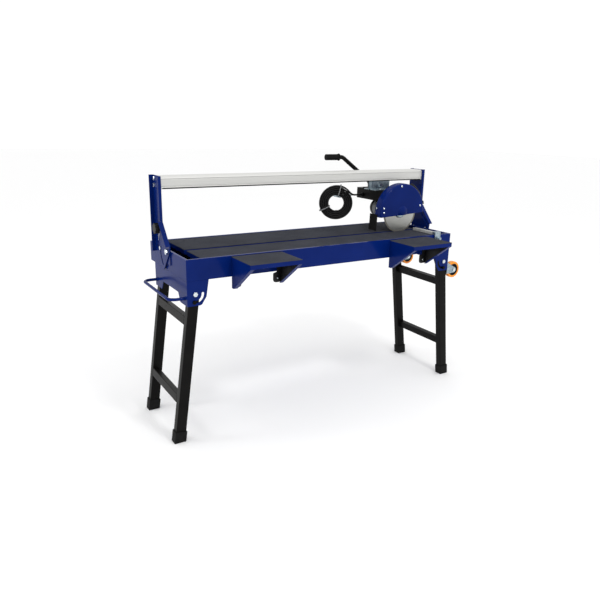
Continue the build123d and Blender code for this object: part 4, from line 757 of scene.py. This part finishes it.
# Nylon ties: a flat band round the turns.
nylon, shader = begin("grey_nylon", 0.42)
flow = speckle(shader, 150.0)
colour(shader, flow, "#8b8d8e", "#a3a5a6")
ties = []
strand_middle, half_width, half_depth = 0.0725, 0.0325, 0.0205
for name, degrees in (("upper_tie", 76), ("lower_tie", 207)):
    bpy.ops.object.select_all(action="DESELECT")
    bpy.ops.mesh.primitive_cylinder_add(vertices=48, radius=1.0, depth=0.0052, end_fill_type="NOTHING")
    tie = settle(name)
    turn = math.radians(degrees)
    for vertex in tie.data.vertices:
        around = math.atan2(vertex.co.y, vertex.co.x)
        out = math.copysign(abs(math.cos(around)) ** 0.45, math.cos(around)) * half_width
        deep = math.copysign(abs(math.sin(around)) ** 0.45, math.sin(around)) * half_depth
        along = vertex.co.z
        reach = strand_middle + out
        u = reach * math.cos(turn) - along * math.sin(turn)
        z = reach * math.sin(turn) + along * math.cos(turn)
        vertex.co = (u, deep, z)
    band = tie.modifiers.new("band", "SOLIDIFY")
    band.thickness = 0.0013
    band.offset = 1.0
    bpy.ops.object.modifier_apply(modifier="band")
    bpy.ops.object.mode_set(mode="EDIT")
    bpy.ops.mesh.select_all(action="SELECT")
    bpy.ops.mesh.normals_make_consistent(inside=False)
    bpy.ops.object.mode_set(mode="OBJECT")
    bpy.ops.object.shade_smooth_by_angle(angle=math.radians(40))
    finish(tie, nylon)
    ties.append(tie)

to_row = Matrix((
    (across.x, behind.x, 0, hank.x),
    (across.y, behind.y, 0, hank.y),
    (0, 0, 1, hank.z),
    (0, 0, 0, 1),
))
for piece in (plug, *pins, *ties):
    piece.data.transform(to_row)
    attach(piece, "head")
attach(lead, "head")
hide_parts("cord_lead", "cord_coil")
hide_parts("cord_plug")


# Studio
# A pale floor, a white surround and two square lamps, with the camera where the photographer stood.
bpy.ops.object.select_all(action="DESELECT")
bpy.ops.mesh.primitive_plane_add(size=60.0, location=(0, 0, 0))
floor = settle("studio_floor")
paper, shader = begin("white_studio_paper", 0.9)
shader.inputs["Base Color"].default_value = linear("#f7f7f7")
finish(floor, paper)
floor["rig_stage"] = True

world = bpy.data.worlds.new("white_surround")
bpy.context.scene.world = world
world.use_nodes = True
world.node_tree.nodes["Background"].inputs["Color"].default_value = (1.0, 1.0, 1.0, 1.0)
world.node_tree.nodes["Background"].inputs["Strength"].default_value = 1.06
for name, place, aim, size, power in (
    ("front_lamp", (0.3, -2.4, 3.9), (0.2, 0, 0.9), 0.6, 44.0),
    ("left_lamp", (-2.6, 0.8, 3.4), (-0.6, 0, 0.8), 0.6, 12.0),
):
    lamp = bpy.data.lights.new(name, "AREA")
    lamp.size = size
    lamp.energy = power
    holder = bpy.data.objects.new(name, lamp)
    bpy.context.scene.collection.objects.link(holder)
    holder.location = place
    holder.rotation_euler = (Vector(aim) - Vector(place)).to_track_quat("-Z", "Y").to_euler()

stand = Vector((-1.633832, -2.4718, 1.4121))
yaw, pitch, roll = math.radians(31.61), math.radians(16.62), math.radians(1.27)
ahead = Vector((math.sin(yaw) * math.cos(pitch), math.cos(yaw) * math.cos(pitch), -math.sin(pitch)))
right = Vector((math.cos(yaw), -math.sin(yaw), 0.0))
up = right.cross(ahead)
right, up = math.cos(roll) * right + math.sin(roll) * up, math.cos(roll) * up - math.sin(roll) * right
lens = bpy.data.cameras.new("photo_camera")
lens.sensor_width = 36.0
lens.lens = 35.24
camera = bpy.data.objects.new("photo_camera", lens)
bpy.context.scene.collection.objects.link(camera)
camera.matrix_world = Matrix((
    (right.x, up.x, -ahead.x, stand.x),
    (right.y, up.y, -ahead.y, stand.y),
    (right.z, up.z, -ahead.z, stand.z),
    (0, 0, 0, 1),
))
bpy.context.scene.camera = camera
bpy.context.scene.view_settings.view_transform = "Standard"

low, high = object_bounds()
